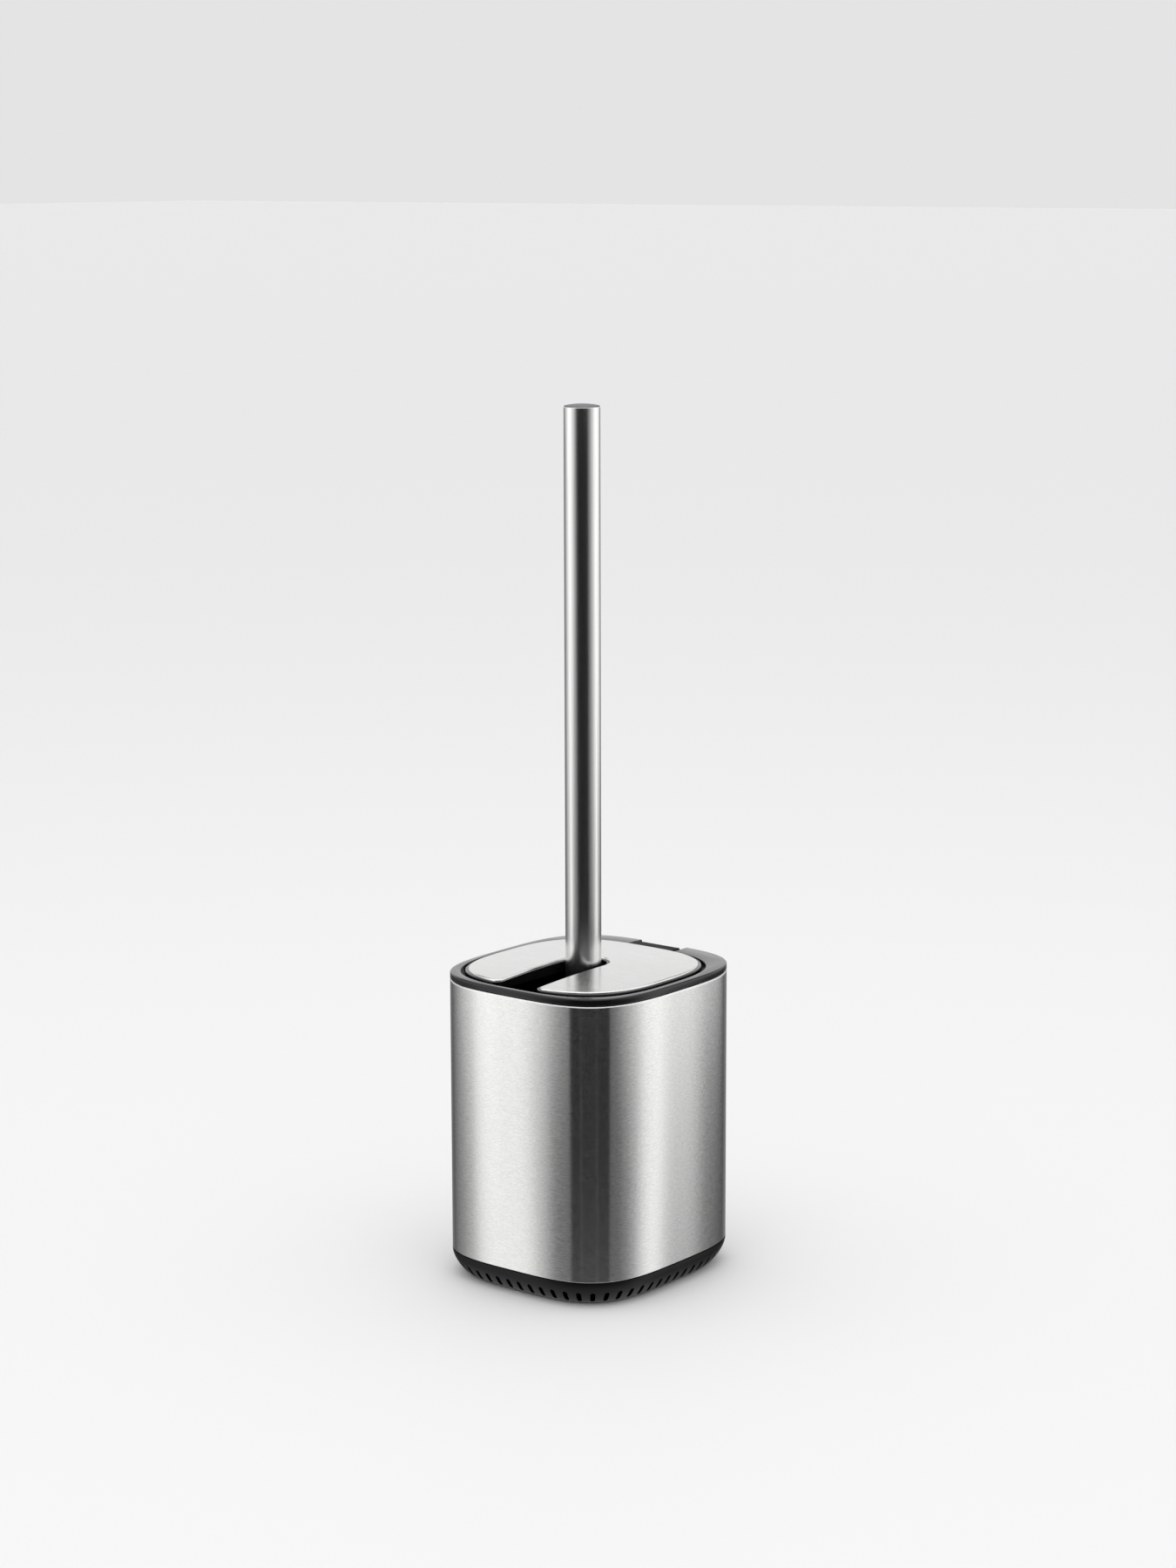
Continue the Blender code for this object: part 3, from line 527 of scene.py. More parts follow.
def moulded_plastic(name, colours, roughness, pit, depth, specular, coat=0.0):
    """Plastic moulded against a spark-eroded tool, which leaves an even, fine pitted texture.

    Real pits are about 0.1 mm across, too fine to show in a view of the whole object, so they are drawn
    coarser. The coat is the polish that a rim gets from hands and cloths.
    """
    made, tree, shader = blank(name)
    pits = noise(tree, [pit] * 3, 2.0)
    normal = bumps(tree, pits, depth, 0.06 * MM)
    feed(tree, shader, {
        "Base Color": shades(tree, noise(tree, [CLOUD] * 3, 3.0), *colours, 0.35, 0.65),
        "Roughness": between(tree, pits, roughness - 0.05, roughness + 0.07),
        "Normal": normal,
        "Specular IOR Level": specular,
        "IOR": 1.53,
        "Coat Weight": coat,
        "Coat Roughness": 0.14,
        "Coat IOR": 1.33,
        "Coat Normal": normal,
    })
    return made


def soft_rubber(name):
    """Black synthetic rubber, matt and slightly dusty."""
    made, tree, shader = blank(name)
    dust = noise(tree, [DUST] * 3, 3.0)
    feed(tree, shader, {
        "Base Color": shades(tree, dust, "#141414", "#232323", 0.35, 0.7),
        "Normal": bumps(tree, dust, 0.4, 0.05 * MM),
        "Roughness": 0.82,
        "IOR": 1.52,
    })
    return made


def zinc_plate(name):
    """Bright zinc plating: bluish, with faint cloudy patches from the bath."""
    made, tree, shader = blank(name)
    clouds = noise(tree, [PATCH] * 3, 4.0)
    feed(tree, shader, {
        "Base Color": shades(tree, clouds, "#A9ADB4", "#C4C7CC"),
        "Roughness": between(tree, clouds, 0.25, 0.42, 0.0, 1.0),
        "Metallic": 1.0,
    })
    return made


def bristle_fibre(name):
    """Nylon monofilament, white and slightly see-through."""
    made, tree, shader = blank(name)
    feed(tree, shader, {
        "Base Color": shades(tree, noise(tree, [STRAND] * 3, 2.0), "#D5D7DA", "#F1F2F3"),
        "Roughness": 0.42,
        "IOR": 1.53,
        "Subsurface Weight": 0.15,
        "Subsurface Radius": (0.6 * MM, 0.6 * MM, 0.6 * MM),
    })
    return made


# The shell is brushed level all round: lights and dark walls stand as tall, sharp-edged stripes
SHELL_STEEL = brushed_steel(
    "brushed_stainless_round", ("#C4C4C3", "#DBDBDA"), (0.19, 0.23), (2.08 * MM, 2.08 * MM, 0.385 * MM),
    0.89, 0.25, tangent_round, 0.08,
)
# The lid is brushed along its hinge: a satin sheen that dulls away from the light
LID_STEEL = brushed_steel(
    "brushed_stainless_across", ("#CCCCCB", "#DEDEDD"), (0.17, 0.23), (10 * MM, 0.667 * MM, 0.667 * MM),
    0.5, 0.25, tangent_across, 0.12,
)
# The tube is brushed along its length: soft-edged stripes
TUBE_STEEL = brushed_steel(
    "satin_stainless_tube", ("#D2D2D1", "#E2E2E1"), (0.23, 0.27), (0.667 * MM, 0.667 * MM, 40 * MM),
    0.4, 0.0, tangent_round, 0.08,
)
# Black with a soft glint on its edges
COLLAR_PLASTIC = moulded_plastic(
    "black_abs_spark_finish", ("#0C0C0D", "#111112"), 0.22, 0.5 * MM, 0.25, 0.15, 0.6,
)
# Dead black, where nothing rubs
FRAME_PLASTIC = moulded_plastic("black_abs_matt", ("#0D0D0E", "#131314"), 0.62, 0.5 * MM, 0.4, 0.1)
# Black with a faint sheen where it curves in
BASE_PLASTIC = moulded_plastic("black_abs_satin", ("#0C0C0D", "#101011"), 0.34, 0.4 * MM, 0.15, 0.15)
# Waxy mid grey
GREY_PLASTIC = moulded_plastic("grey_polypropylene", ("#6C6D6F", "#747577"), 0.5, 0.5 * MM, 0.25, 0.2)
# Flat mid grey, without a highlight
CAP_PLASTIC = moulded_plastic("grey_abs_matt", ("#737476", "#7B7C7E"), 0.7, 0.5 * MM, 0.25, 0.08)
# Soft black, greyed by dust
RUBBER = soft_rubber("black_rubber")
# Bluish silver, cloudy close to
SCREW_STEEL = zinc_plate("zinc_plated_steel")
# Milky white, lit a little from within
NYLON = bristle_fibre("white_nylon_bristle")


# Canister

def outer_shell():
    """The steel sheet, with its top and bottom edges rolled slightly in."""
    low, high = SHELL_LOW.z, SHELL_HIGH.z
    hem, roll, roll_height = 0.45 * MM, 0.8 * MM, 1.1 * MM
    levels = [(SHEET, low)]
    levels += corner(hem, low + hem, hem, hem, -90, 0)
    levels += corner(roll, high - roll_height, roll, roll_height, 0, 90, 8)
    levels += [(SHEET + 0.5 * MM, high), (SHEET + 0.3 * MM, high - 0.9 * MM)]
    levels += [(SHEET, high - 2.0 * MM), (SHEET, low)]
    piece = rounded_loft("shell_skin", BODY, levels, ring=True)
    finished(piece, SHELL_STEEL, "canister", "brushed_stainless", "outer_shell")


def inner_sleeve():
    """The black liner behind the steel, with a screw boss on a web in each corner."""
    low, high = SLEEVE_LOW.z, SLEEVE_HIGH.z
    edge = 0.3 * MM
    levels = [(SLEEVE_WALL, low), (0, low), (0, high), (SLEEVE_WALL - edge, high)]
    levels += [(SLEEVE_WALL, high - edge), (SLEEVE_WALL, low)]
    piece = rounded_loft("liner", SLEEVE, levels, ring=True)
    boss_top, web_low, web_half = low + 11.0 * MM, low + 6.2 * MM, 0.8 * MM
    for number, place in enumerate(places("base_screw", 4)):
        boss = rod("boss", POST_RADIUS, boss_top - low, (place.x, place.y, (low + boss_top) / 2))
        outer = SLEEVE.inset(SLEEVE_WALL / 2).point(math.radians(45 + 90 * number))
        along = Vector((outer.x - place.x, outer.y - place.y, 0))
        web = block("web", (0, -web_half, web_low), (along.length, web_half, boss_top))
        web.rotation_euler.z = math.atan2(along.y, along.x)
        web.location = (place.x, place.y, 0)
        settle(web)
        combine(boss, web, "UNION")
        combine(piece, boss, "UNION")
        pilot = rod("pilot", HOLE_RADIUS, 2 * (boss_top - low), (place.x, place.y, low), steps=HOLE_STEPS)
        combine(piece, pilot)
    finished(piece, COLLAR_PLASTIC, "canister", "black_plastic", "inner_sleeve")


def top_collar():
    """The rim round the lid: its plug, ledge, opening, and the notch and bore of the hinge."""
    rim_low = RIM_TOP - RIM_HEIGHT
    seat = SLEEVE_HIGH.z + FIT
    under, under_edge, edge = 1.25 * MM, 0.25 * MM, 0.8 * MM
    levels = [(PLUG, COLLAR_LOW.z), (PLUG, seat), (under, seat), (under, rim_low)]
    levels += corner(under_edge, rim_low + under_edge, under_edge, under_edge, -90, 0, 3)
    levels += corner(edge, RIM_TOP - edge, edge, edge, 0, 90, 6)
    piece = rounded_loft("rim_collar", BODY, levels)
    below = COLLAR_LOW.z - OVERLAP
    ledge_low = LEDGE_TOP - LEDGE_THICKNESS
    back = BODY.half_y - 11.0 * MM
    wide = INSIDE_SLEEVE.half_x - PLUG_WALL
    deep = (back + INSIDE_SLEEVE.half_y - PLUG_WALL) / 2
    well = Plan(wide, deep, back - deep, BODY_POWER)
    combine(piece, rounded_loft("well", well, [(0, below), (0, ledge_low)]))
    lip = 0.35 * MM
    throat = [(0, ledge_low - OVERLAP), (0, LEDGE_TOP - lip)]
    throat += corner(-lip, LEDGE_TOP - lip, -lip, lip, 0, 90, 3)[1:] + [(-lip, LEDGE_TOP + OVERLAP)]
    combine(piece, rounded_loft("throat", THROAT, throat))
    mouth = [(0, LEDGE_TOP), (0, RIM_TOP - lip)]
    mouth += corner(-lip, RIM_TOP - lip, -lip, lip, 0, 90, 4)[1:] + [(-lip - HAIR, RIM_TOP + OVERLAP)]
    combine(piece, rounded_loft("mouth", OPENING, mouth))
    notch_front = THROAT.middle_y + THROAT.half_y - 6 * MM
    notch_back, notch_top = BODY.half_y + 7 * MM, RIM_TOP + 10 * MM
    low, high = (-NOTCH_HALF, notch_front, HINGE_Z - 3.7 * MM), (NOTCH_HALF, notch_back, notch_top)
    combine(piece, block("notch", low, high))
    bore_length = PIN_HIGH.x - PIN_LOW.x + 2 * FIT
    combine(piece, rod("bore", PIN_BORE, bore_length, (0, HINGE_Y, HINGE_Z), "X", HOLE_STEPS))
    finished(piece, COLLAR_PLASTIC, "canister", "black_plastic", "top_collar")


def base_levels():
    """The base's outside, from its underside up its convex side to the shell."""
    low, high = BASE_LOW.z, SHELL_LOW.z - FIT
    levels = []
    steps = 14
    for i in range(steps, -1, -1):
        share = i / steps
        levels.append((BASE_INSET * share ** BASE_CURVE, high + (low - high) * share))
    inset, edge = levels[0][0], 0.5 * MM
    return corner(inset + edge, low + edge, edge, edge, -90, -20, 3) + levels[1:]


def vents():
    """Arched slots all round, square to the outline, as one cutting shape."""
    radius = VENT_WIDTH / 2
    deselect()
    bpy.ops.mesh.primitive_cylinder_add(
        vertices=16, radius=radius, depth=2 * VENT_DEPTH, rotation=(0, math.pi / 2, 0),
    )
    slot = bpy.context.object
    settle(slot)
    edit(slot)
    pick(slot, lambda co: co.z > -HAIR)
    bpy.ops.transform.translate(value=(0, 0, VENT_TOP - VENT_BOTTOM - VENT_WIDTH))
    leave()
    copies = []
    for place, outward in BODY.inset(BASE_INSET / 2).evenly(VENT_PITCH):
        copy = own_copy(slot)
        copy.location = (place.x, place.y, VENT_BOTTOM + radius)
        copy.rotation_euler.z = math.atan2(outward.y, outward.x)
        copies.append(copy)
    bpy.data.objects.remove(slot)
    made = joined(copies, "vents")
    settle(made)
    return made


def vented_base():
    """The black foot: a tray that draws in to the floor, with arched vents and the cup's seat."""
    floor_top = BASE_LOW.z + BASE_FLOOR
    top = SHELL_LOW.z - FIT
    edge = 0.3 * MM
    levels = base_levels() + [(PLUG, top), (PLUG, BASE_HIGH.z - edge), (PLUG + edge, BASE_HIGH.z)]
    piece = rounded_loft("vented_foot", BODY, levels)
    low_wall = BASE_INSET * ((top - floor_top) / (top - BASE_LOW.z)) ** BASE_CURVE + BASE_WALL
    high_wall = PLUG + PLUG_WALL
    inside = [(low_wall, floor_top), (high_wall, top - BASE_WALL), (high_wall, BASE_HIGH.z + OVERLAP)]
    combine(piece, rounded_loft("inside", BODY, inside))
    combine(piece, vents())
    cup_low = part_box("drip_cup")[0]
    seat, seat_wall, seat_top, below = 40.1 * MM, 1.5 * MM, floor_top + 4.5 * MM, floor_top - OVERLAP
    outside = seat + seat_wall
    ring = [(seat, below), (seat, seat_top), (outside, seat_top), (outside, below), (seat, below)]
    combine(piece, turned("seat_ring", ring, ring=True), "UNION")
    rib_top = cup_low.z - FIT
    rib_length, rib_half = seat - seat_wall / 2, 1.5 * MM
    for wide, deep in ((rib_length, rib_half), (rib_half, rib_length)):
        low, high = (-wide, BRUSH_Y - deep, below), (wide, BRUSH_Y + deep, rib_top)
        combine(piece, block("rib", low, high), "UNION")
    for place in places("base_screw", 4):
        post = rod("post", POST_RADIUS, top - below, (place.x, place.y, (top + below) / 2))
        combine(piece, post, "UNION")
    head_radius, head_depth, through = 3.1 * MM, 3.3 * MM, 50 * MM
    for place in places("base_screw", 4):
        combine(piece, rod("counterbore", head_radius, 2 * head_depth, (place.x, place.y, 0)))
        combine(piece, rod("hole", HOLE_RADIUS, 2 * through, (place.x, place.y, 0), steps=HOLE_STEPS))
    pocket_radius = 5.3 * MM
    pocket_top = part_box("foot_pad_1")[1].z + FIT
    for place in places("foot_pad", 4):
        combine(piece, rod("pocket", pocket_radius, 2 * pocket_top, (place.x, place.y, 0)))
    finished(piece, BASE_PLASTIC, "canister", "black_plastic", "vented_base")


def drip_cup():
    """The loose cup: a flared wall with a rolled lip, and a rounded foot round a hollow underside."""
    low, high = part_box("drip_cup")
    bottom, top = low.z, high.z
    lip, foot, wall, hollow = high.x, 39.5 * MM, 1.6 * MM, 0.25 * MM
    overhang, roll, heel, fillet = 1.2 * MM, 0.9 * MM, 2.0 * MM, 3.0 * MM
    flare = (lip - overhang - foot) / (top - bottom)
    quarters = (0.25, 0.5, 0.75)

    def outside(z):
        return foot + flare * (z - bottom)

    def level(share):
        return bottom + share * (top - bottom)

    profile = [(foot - 6 * MM, bottom), (foot - 5 * MM, bottom + hollow), (foot - 2.4 * MM, bottom + hollow)]
    profile += arc(foot - heel, bottom + heel + hollow, heel, heel, -78, 0)
    profile += [(outside(level(share)), level(share)) for share in quarters]
    profile.append((outside(top - 3.2 * MM), top - 3.2 * MM))
    profile.append((outside(top - 2.2 * MM) + 0.3 * MM, top - 2.4 * MM))
    profile += arc(lip - roll, top - roll, roll, roll, -60, 90, 8)
    inner = lip - overhang - wall
    profile += [(inner + 0.7 * MM, top), (inner + 0.15 * MM, top - 0.25 * MM), (inner, top - 0.8 * MM)]
    profile += [(outside(level(share)) - wall, level(share)) for share in reversed(quarters)]
    floor_top = bottom + wall
    edge = outside(floor_top + fillet) - wall
    steps = 5
    for i in range(steps + 1):
        turn = math.radians(-90 * i / steps)
        inwards, down = fillet * (1 - math.cos(turn)), fillet * (1 + math.sin(turn))
        profile.append((edge - inwards, floor_top + down))
    piece = turned("drip_cup_bowl", profile)
    finished(piece, GREY_PLASTIC, "canister", "grey_plastic", "drip_cup")


def base_screws():
    """Four pan-head screws with a cross recess and a thread, modelled once and copied."""
    low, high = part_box("base_screw_1")
    place = (low + high) / 2
    head_low, head_top, tip = low.z, low.z + 1.7 * MM, high.z
    core, thread, pitch, rounding = 1.15 * MM, 1.4 * MM, 1.3 * MM, 0.8 * MM
    profile = [(1.2 * MM, head_low)] + arc(2.0 * MM, head_low + rounding, rounding, rounding, -90, 0)
    profile += [(2.8 * MM, head_top - 0.15 * MM), (2.65 * MM, head_top), (thread, head_top)]
    z = head_top + 1.5 * MM
    while z < tip - 3 * MM:
        profile += [(core, z), (thread, z + 0.25 * pitch), (thread, z + 0.4 * pitch)]
        profile += [(core, z + 0.65 * pitch)]
        z += pitch
    profile += [(core, tip - 2.2 * MM), (0.3 * MM, tip)]
    screw = turned("screw_master", profile, SMALL_STEPS, x=place.x, y=place.y)
    for turn in (0, math.pi / 2):
        recess = block("recess", (-1.6 * MM, -0.4 * MM, -1.0 * MM), (1.6 * MM, 0.4 * MM, 1.0 * MM))
        recess.rotation_euler.z = turn
        recess.location = (place.x, place.y, head_low)
        settle(recess)
        combine(screw, recess)
    copied(screw, "pan_head_screw", "base_screw", 4, SCREW_STEEL, "canister", "plated_steel")


def pads(name, node_name, count, body, ridges):
    """Round rubber pads with a softened edge and shallow rings in the sole, modelled once and copied."""
    low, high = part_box(f"{node_name}_1")
    middle, radius = (low + high) / 2, (high.x - low.x) / 2
    edge, top_edge, groove = 0.35 * MM, 0.1 * MM, low.z + 0.2 * MM
    profile = []
    for share in ridges:
        start = radius * share
        profile += [(start, groove), (start + 0.15 * MM, low.z)]
        profile += [(start + 0.45 * MM, low.z), (start + 0.6 * MM, groove)]
    profile += [(radius - 1.1 * MM, groove)] if ridges else [(radius / 2, low.z)]
    profile += [(radius - 0.9 * MM, low.z)]
    profile += arc(radius - edge, low.z + edge, edge, edge, -90, 0, 4)
    profile += arc(radius - top_edge, high.z - top_edge, top_edge, top_edge, 0, 90, 2)
    piece = turned("pad_master", profile, SMALL_STEPS, x=middle.x, y=middle.y)
    copied(piece, name, node_name, count, RUBBER, body, "black_rubber")


def hinge_pin():
    half = (PIN_HIGH.x - PIN_LOW.x) / 2
    radius = (PIN_HIGH.z - PIN_LOW.z) / 2
    edge = 0.3 * MM
    profile = [(radius - edge, -half), (radius, -half + edge), (radius, half - edge), (radius - edge, half)]
    piece = turned("pivot_pin", profile, SMALL_STEPS, y=0.0)
    piece.rotation_euler.y = math.pi / 2
    piece.location = (0, HINGE_Y, HINGE_Z)
    settle(piece)
    finished(piece, SCREW_STEEL, "canister", "plated_steel", "hinge_pin")


# Lid

def slot_cutter(edge, low, high):
    """The slot's shape: a tongue with a round end that opens into a bar past the lid's front edge.

    The tongue's inner corners are rounded into its end, and the corners at the mouth outwards.
    """
    half = SLOT_HALF - edge
    front = PLATE.front_at(SLOT_HALF + MOUTH_RADIUS)
    mouth = MOUTH_RADIUS + edge
    bar = front - edge + HAIR
    beyond = OPENING_FRONT - 6 * MM
    reach = 2 * MOUTH_RADIUS + SLOT_HALF - half + 4 * edge

    def beside_bar(a, b):
        return abs(a.x - b.x) < HAIR and max(a.y, b.y) < bar + HAIR

    deselect()
    bpy.ops.mesh.primitive_plane_add(size=2)
    piece = bpy.context.object
    piece.name = "slot"
    edit(piece)
    select_mesh()
    tongue_back = SLOT_Y + half
    bpy.ops.transform.resize(value=(half, (tongue_back - bar) / 2, 1), center_override=(0, 0, 0))
    bpy.ops.transform.translate(value=(0, (tongue_back + bar) / 2, low))
    pick(piece, lambda a, b: max(a.y, b.y) < bar + HAIR, "edges")
    bpy.ops.mesh.extrude_region_move(TRANSFORM_OT_translate={"value": (0, beyond - bar, 0)})
    for side in (-1, 1):
        pick(piece, lambda a, b: beside_bar(a, b) and side * a.x > 0, "edges")
        bpy.ops.mesh.extrude_region_move(TRANSFORM_OT_translate={"value": (side * reach, 0, 0)})
    select_mesh()
    bpy.ops.mesh.dissolve_limited(angle_limit=0.01)
    pick(piece, lambda co: co.y > tongue_back - HAIR)
    nearly_half = half * (1 - 1e-4)
    bpy.ops.mesh.bevel(
        offset=nearly_half, segments=32, profile=0.5, affect="VERTICES", clamp_overlap=False,
    )
    pick(piece, lambda co: abs(co.y - bar) < HAIR and abs(abs(co.x) - half) < HAIR)
    bpy.ops.mesh.bevel(offset=mouth, segments=14, profile=0.5, affect="VERTICES", clamp_overlap=False)
    select_mesh()
    bpy.ops.mesh.remove_doubles(threshold=HAIR / 4)
    select_mesh()
    bpy.ops.mesh.extrude_region_move(TRANSFORM_OT_translate={"value": (0, 0, high - low)})
    return close(piece, ring=False)


def gridded(piece, pitch):
    """Cuts a flat blank into a grid, so that it can be pressed to a dome."""
    edit(piece)
    for axis, reach in ((0, LID.half_x), (1, LID.half_y)):
        count = int(reach / pitch)
        for number in range(-count, count + 1):
            middle = [0.0, LID.middle_y, 0.0]
            middle[axis] += number * pitch + 0.37 * MM
            normal = [0.0, 0.0, 0.0]
            normal[axis] = 1.0
            select_mesh()
            bpy.ops.mesh.bisect(plane_co=middle, plane_no=normal)
    leave()


def pressed(piece, plan, above):
    """Presses the top of a flat blank up to the lid's shallow dome."""
    for vertex in piece.data.vertices:
        if vertex.co.z > above:
            vertex.co.z += DOME_RISE * max(0.0, 1 - plan.share(vertex.co) ** 2)


def pick_top(piece):
    """Selects a flat blank's broad top face."""
    pick(piece, lambda face: face.normal.z > 0.9 and face.area > 1e-4, "faces")


def lid_plate():
    """The steel plate: a blank with the slot cut out, its edge rolled over, pressed to a dome."""
    low = FRAME_TOP + 4 * HAIR
    high = low + PLATE_THICKNESS
    piece = rounded_loft("lid_skin", PLATE, [(0, low), (0, high)])
    combine(piece, slot_cutter(0.0, low - OVERLAP, high + OVERLAP))
    edit(piece)
    pick(piece, lambda a, b: min(a.z, b.z) > high - HAIR, "edges")
    bpy.ops.mesh.bevel(offset=0.7 * MM, segments=6, profile=0.5, affect="EDGES", clamp_overlap=True)
    pick_top(piece)
    bpy.ops.mesh.inset(thickness=0.25 * MM)
    leave()
    gridded(piece, 5 * MM)
    pressed(piece, PLATE, low - MM)
    finished(piece, LID_STEEL, "lid", "brushed_stainless", "lid_plate")


def lid_frame():
    """The black frame under the plate, with its hinge tab and barrel at the back."""
    edge = 0.5 * MM
    chamfer = 0.15 * MM
    levels = [(edge, FRAME_BOTTOM), (chamfer, FRAME_BOTTOM + chamfer), (0, FRAME_BOTTOM + edge)]
    levels += corner(edge, FRAME_TOP - edge, edge, edge, 0, 90)
    piece = rounded_loft("lid_tray", LID, levels)
    combine(piece, slot_cutter(FRAME_EDGE, FRAME_BOTTOM - OVERLAP, FRAME_TOP + OVERLAP))
    edit(piece)
    pick_top(piece)
    bpy.ops.mesh.inset(thickness=0.2 * MM)
    leave()
    gridded(piece, 7 * MM)
    pressed(piece, LID, FRAME_TOP - 0.8 * MM)
    hinge = (0, HINGE_Y, HINGE_Z)
    lid_back = LID.middle_y + LID.half_y
    low = (-TAB_HALF, lid_back - 6 * MM, RIM_TOP - 5 * MM)
    high = (TAB_HALF, HINGE_Y - 1.4 * MM, RIM_TOP + 0.6 * MM)
    combine(piece, bevelled(block("tab", low, high), 0.35 * MM, 30), "UNION")
    barrel = rod("barrel", BARREL_RADIUS, 2 * BARREL_HALF, hinge, "X", 64)
    combine(piece, bevelled(barrel, 0.24 * MM, 60), "UNION")
    combine(piece, rod("pin_bore", PIN_BORE, 40 * MM, hinge, "X", 32))
    pocket_radius, depth = 2.3 * MM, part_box("lid_bumper_1")[1].z + FIT - FRAME_BOTTOM
    for place in places("lid_bumper", 2):
        combine(piece, rod("pocket", pocket_radius, 2 * depth, (place.x, place.y, FRAME_BOTTOM)))
    finished(piece, COLLAR_PLASTIC, "lid", "black_plastic", "lid_frame")
    # The tab and the barrel, behind the frame's own edge
    piece.data.materials.append(FRAME_PLASTIC)
    for face in piece.data.polygons:
        if face.center.y > lid_back - 0.5 * MM:
            face.material_index = 1


# Brush

def handle_tube():
    """The satin steel tube, whose lower end rounds in and hides in the slot."""
    low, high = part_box("handle_tube")
    outer, neck, wall, edge = high.x, 7.6 * MM, 0.8 * MM, 0.35 * MM
    top = high.z - CAP_DROP
    bottom = low.z - 3.9 * MM
    shoulder = bottom + 1.4 * MM
    profile = arc(neck, shoulder, outer - neck, shoulder - bottom, -90, 0, 8)
    length, steps = top - shoulder, 8
    profile += [(outer, shoulder + length * i / steps) for i in range(1, steps)]
    profile += arc(outer - edge, top - edge, edge, edge, 0, 90)
    profile += [(outer - wall, top - 0.1 * MM), (outer - wall, shoulder), (neck - wall, bottom + 0.5 * MM)]
    profile += [(neck - wall, bottom), profile[0]]
    piece = turned("grip_tube", profile, ring=True)
    finished(piece, TUBE_STEEL, "brush", "satin_tube", "handle_tube")


def handle_end_cap():
    """The cap pushed into the top of the tube, with a flange over the tube's end and a shallow crown."""
    low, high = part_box("handle_end_cap")
    tube_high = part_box("handle_tube")[1]
    radius, flange = high.x, tube_high.x - 0.2 * MM
    under = tube_high.z - CAP_DROP + 0.1 * MM
    edge, chamfer = 0.15 * MM, 0.6 * MM
    profile = [(radius - chamfer, low.z), (radius, low.z + chamfer), (radius, under), (flange - edge, under)]
    profile += arc(flange - edge, under + edge, edge, edge, -60, 60, 3)
    rise = high.z - under - 2 * edge
    steps = 12
    for i in range(1, steps):
        share = 1 - i / steps
        profile.append(((flange - edge) * share, high.z - rise * share ** 2))
    piece = turned("crown_cap", profile)
    finished(piece, CAP_PLASTIC, "brush", "grey_plastic", "handle_end_cap")


def grooved(radius, z, depth, half, half_floor):
    """Levels of a groove round a turned piece, half as wide at its floor as given."""
    floor = radius - depth
    return [(radius, z - half), (floor, z - half_floor), (floor, z + half_floor), (radius, z + half)]


def handle_plug():
    """The insert that holds the stem in the tube, with grip grooves."""
    low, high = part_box("handle_plug")
    outer, edge = high.x, 0.4 * MM
    grooves = 4
    profile = [(STEM_BORE, low.z), (outer - edge, low.z), (outer, low.z + edge)]
    for i in range(1, grooves + 1):
        z = low.z + (high.z - low.z) * i / (grooves + 1)
        profile += grooved(outer, z, 0.4 * MM, 0.6 * MM, 0.3 * MM)
    profile += [(outer, high.z - edge), (outer - edge, high.z), (STEM_BORE, high.z), (STEM_BORE, low.z)]
    piece = turned("tube_insert", profile, STEM_STEPS, ring=True)
    finished(piece, BASE_PLASTIC, "brush", "black_plastic", "handle_plug")


def stem():
    low, high = STEM_LOW, STEM_HIGH
    radius, edge, steps = high.x, 0.3 * MM, 6
    profile = [(radius - edge, low.z), (radius, low.z + edge)]
    profile += [(radius, low.z + (high.z - low.z) * i / steps) for i in range(1, steps)]
    profile += [(radius, high.z - edge), (radius - edge, high.z)]
    piece = turned("stem_rod", profile, STEM_STEPS)
    finished(piece, BASE_PLASTIC, "brush", "black_plastic", "stem")


def stem_seal():
    low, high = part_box("stem_seal")
    middle = (low.z + high.z) / 2
    half = (high.z - low.z) / 2
    profile = [(STEM_BORE, low.z)] + arc(high.x - half, middle, half, half, -90, 90, 8)
    profile += [(STEM_BORE, high.z), (STEM_BORE, low.z)]
    piece = turned("stem_ring", profile, STEM_STEPS, ring=True)
    finished(piece, RUBBER, "brush", "black_rubber", "stem_seal")


def head_core():
    """The core that holds the tufts: a round tip, a ringed body, a shoulder and the neck of its socket."""
    low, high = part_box("head_core")
    radius, neck = high.x, 7.5 * MM
    floor = high.z - 18 * MM
    shoulder = floor - 3.75 * MM
    profile = []
    steps = 8
    for i in range(1, steps + 1):
        turn = math.radians(90 * i / steps)
        profile.append((radius * math.sin(turn), low.z + radius * (1 - math.cos(turn))))
    rings = 9
    for i in range(1, rings):
        z = low.z + radius + (shoulder - low.z - radius) * i / rings
        profile += grooved(radius, z, 0.35 * MM, 0.5 * MM, 0.2 * MM)
    profile += [(radius, shoulder), (radius - 0.5 * MM, shoulder + 1.2 * MM), (neck, floor)]
    edge, chamfer = 0.5 * MM, 0.3 * MM
    profile += arc(neck - edge, high.z - edge, edge, edge, 0, 90, 4)
    profile += [(STEM_BORE + chamfer, high.z), (STEM_BORE, high.z - chamfer), (STEM_BORE, floor)]
    piece = turned("tuft_core", profile, STEM_STEPS)
    finished(piece, BASE_PLASTIC, "brush", "black_plastic", "head_core")


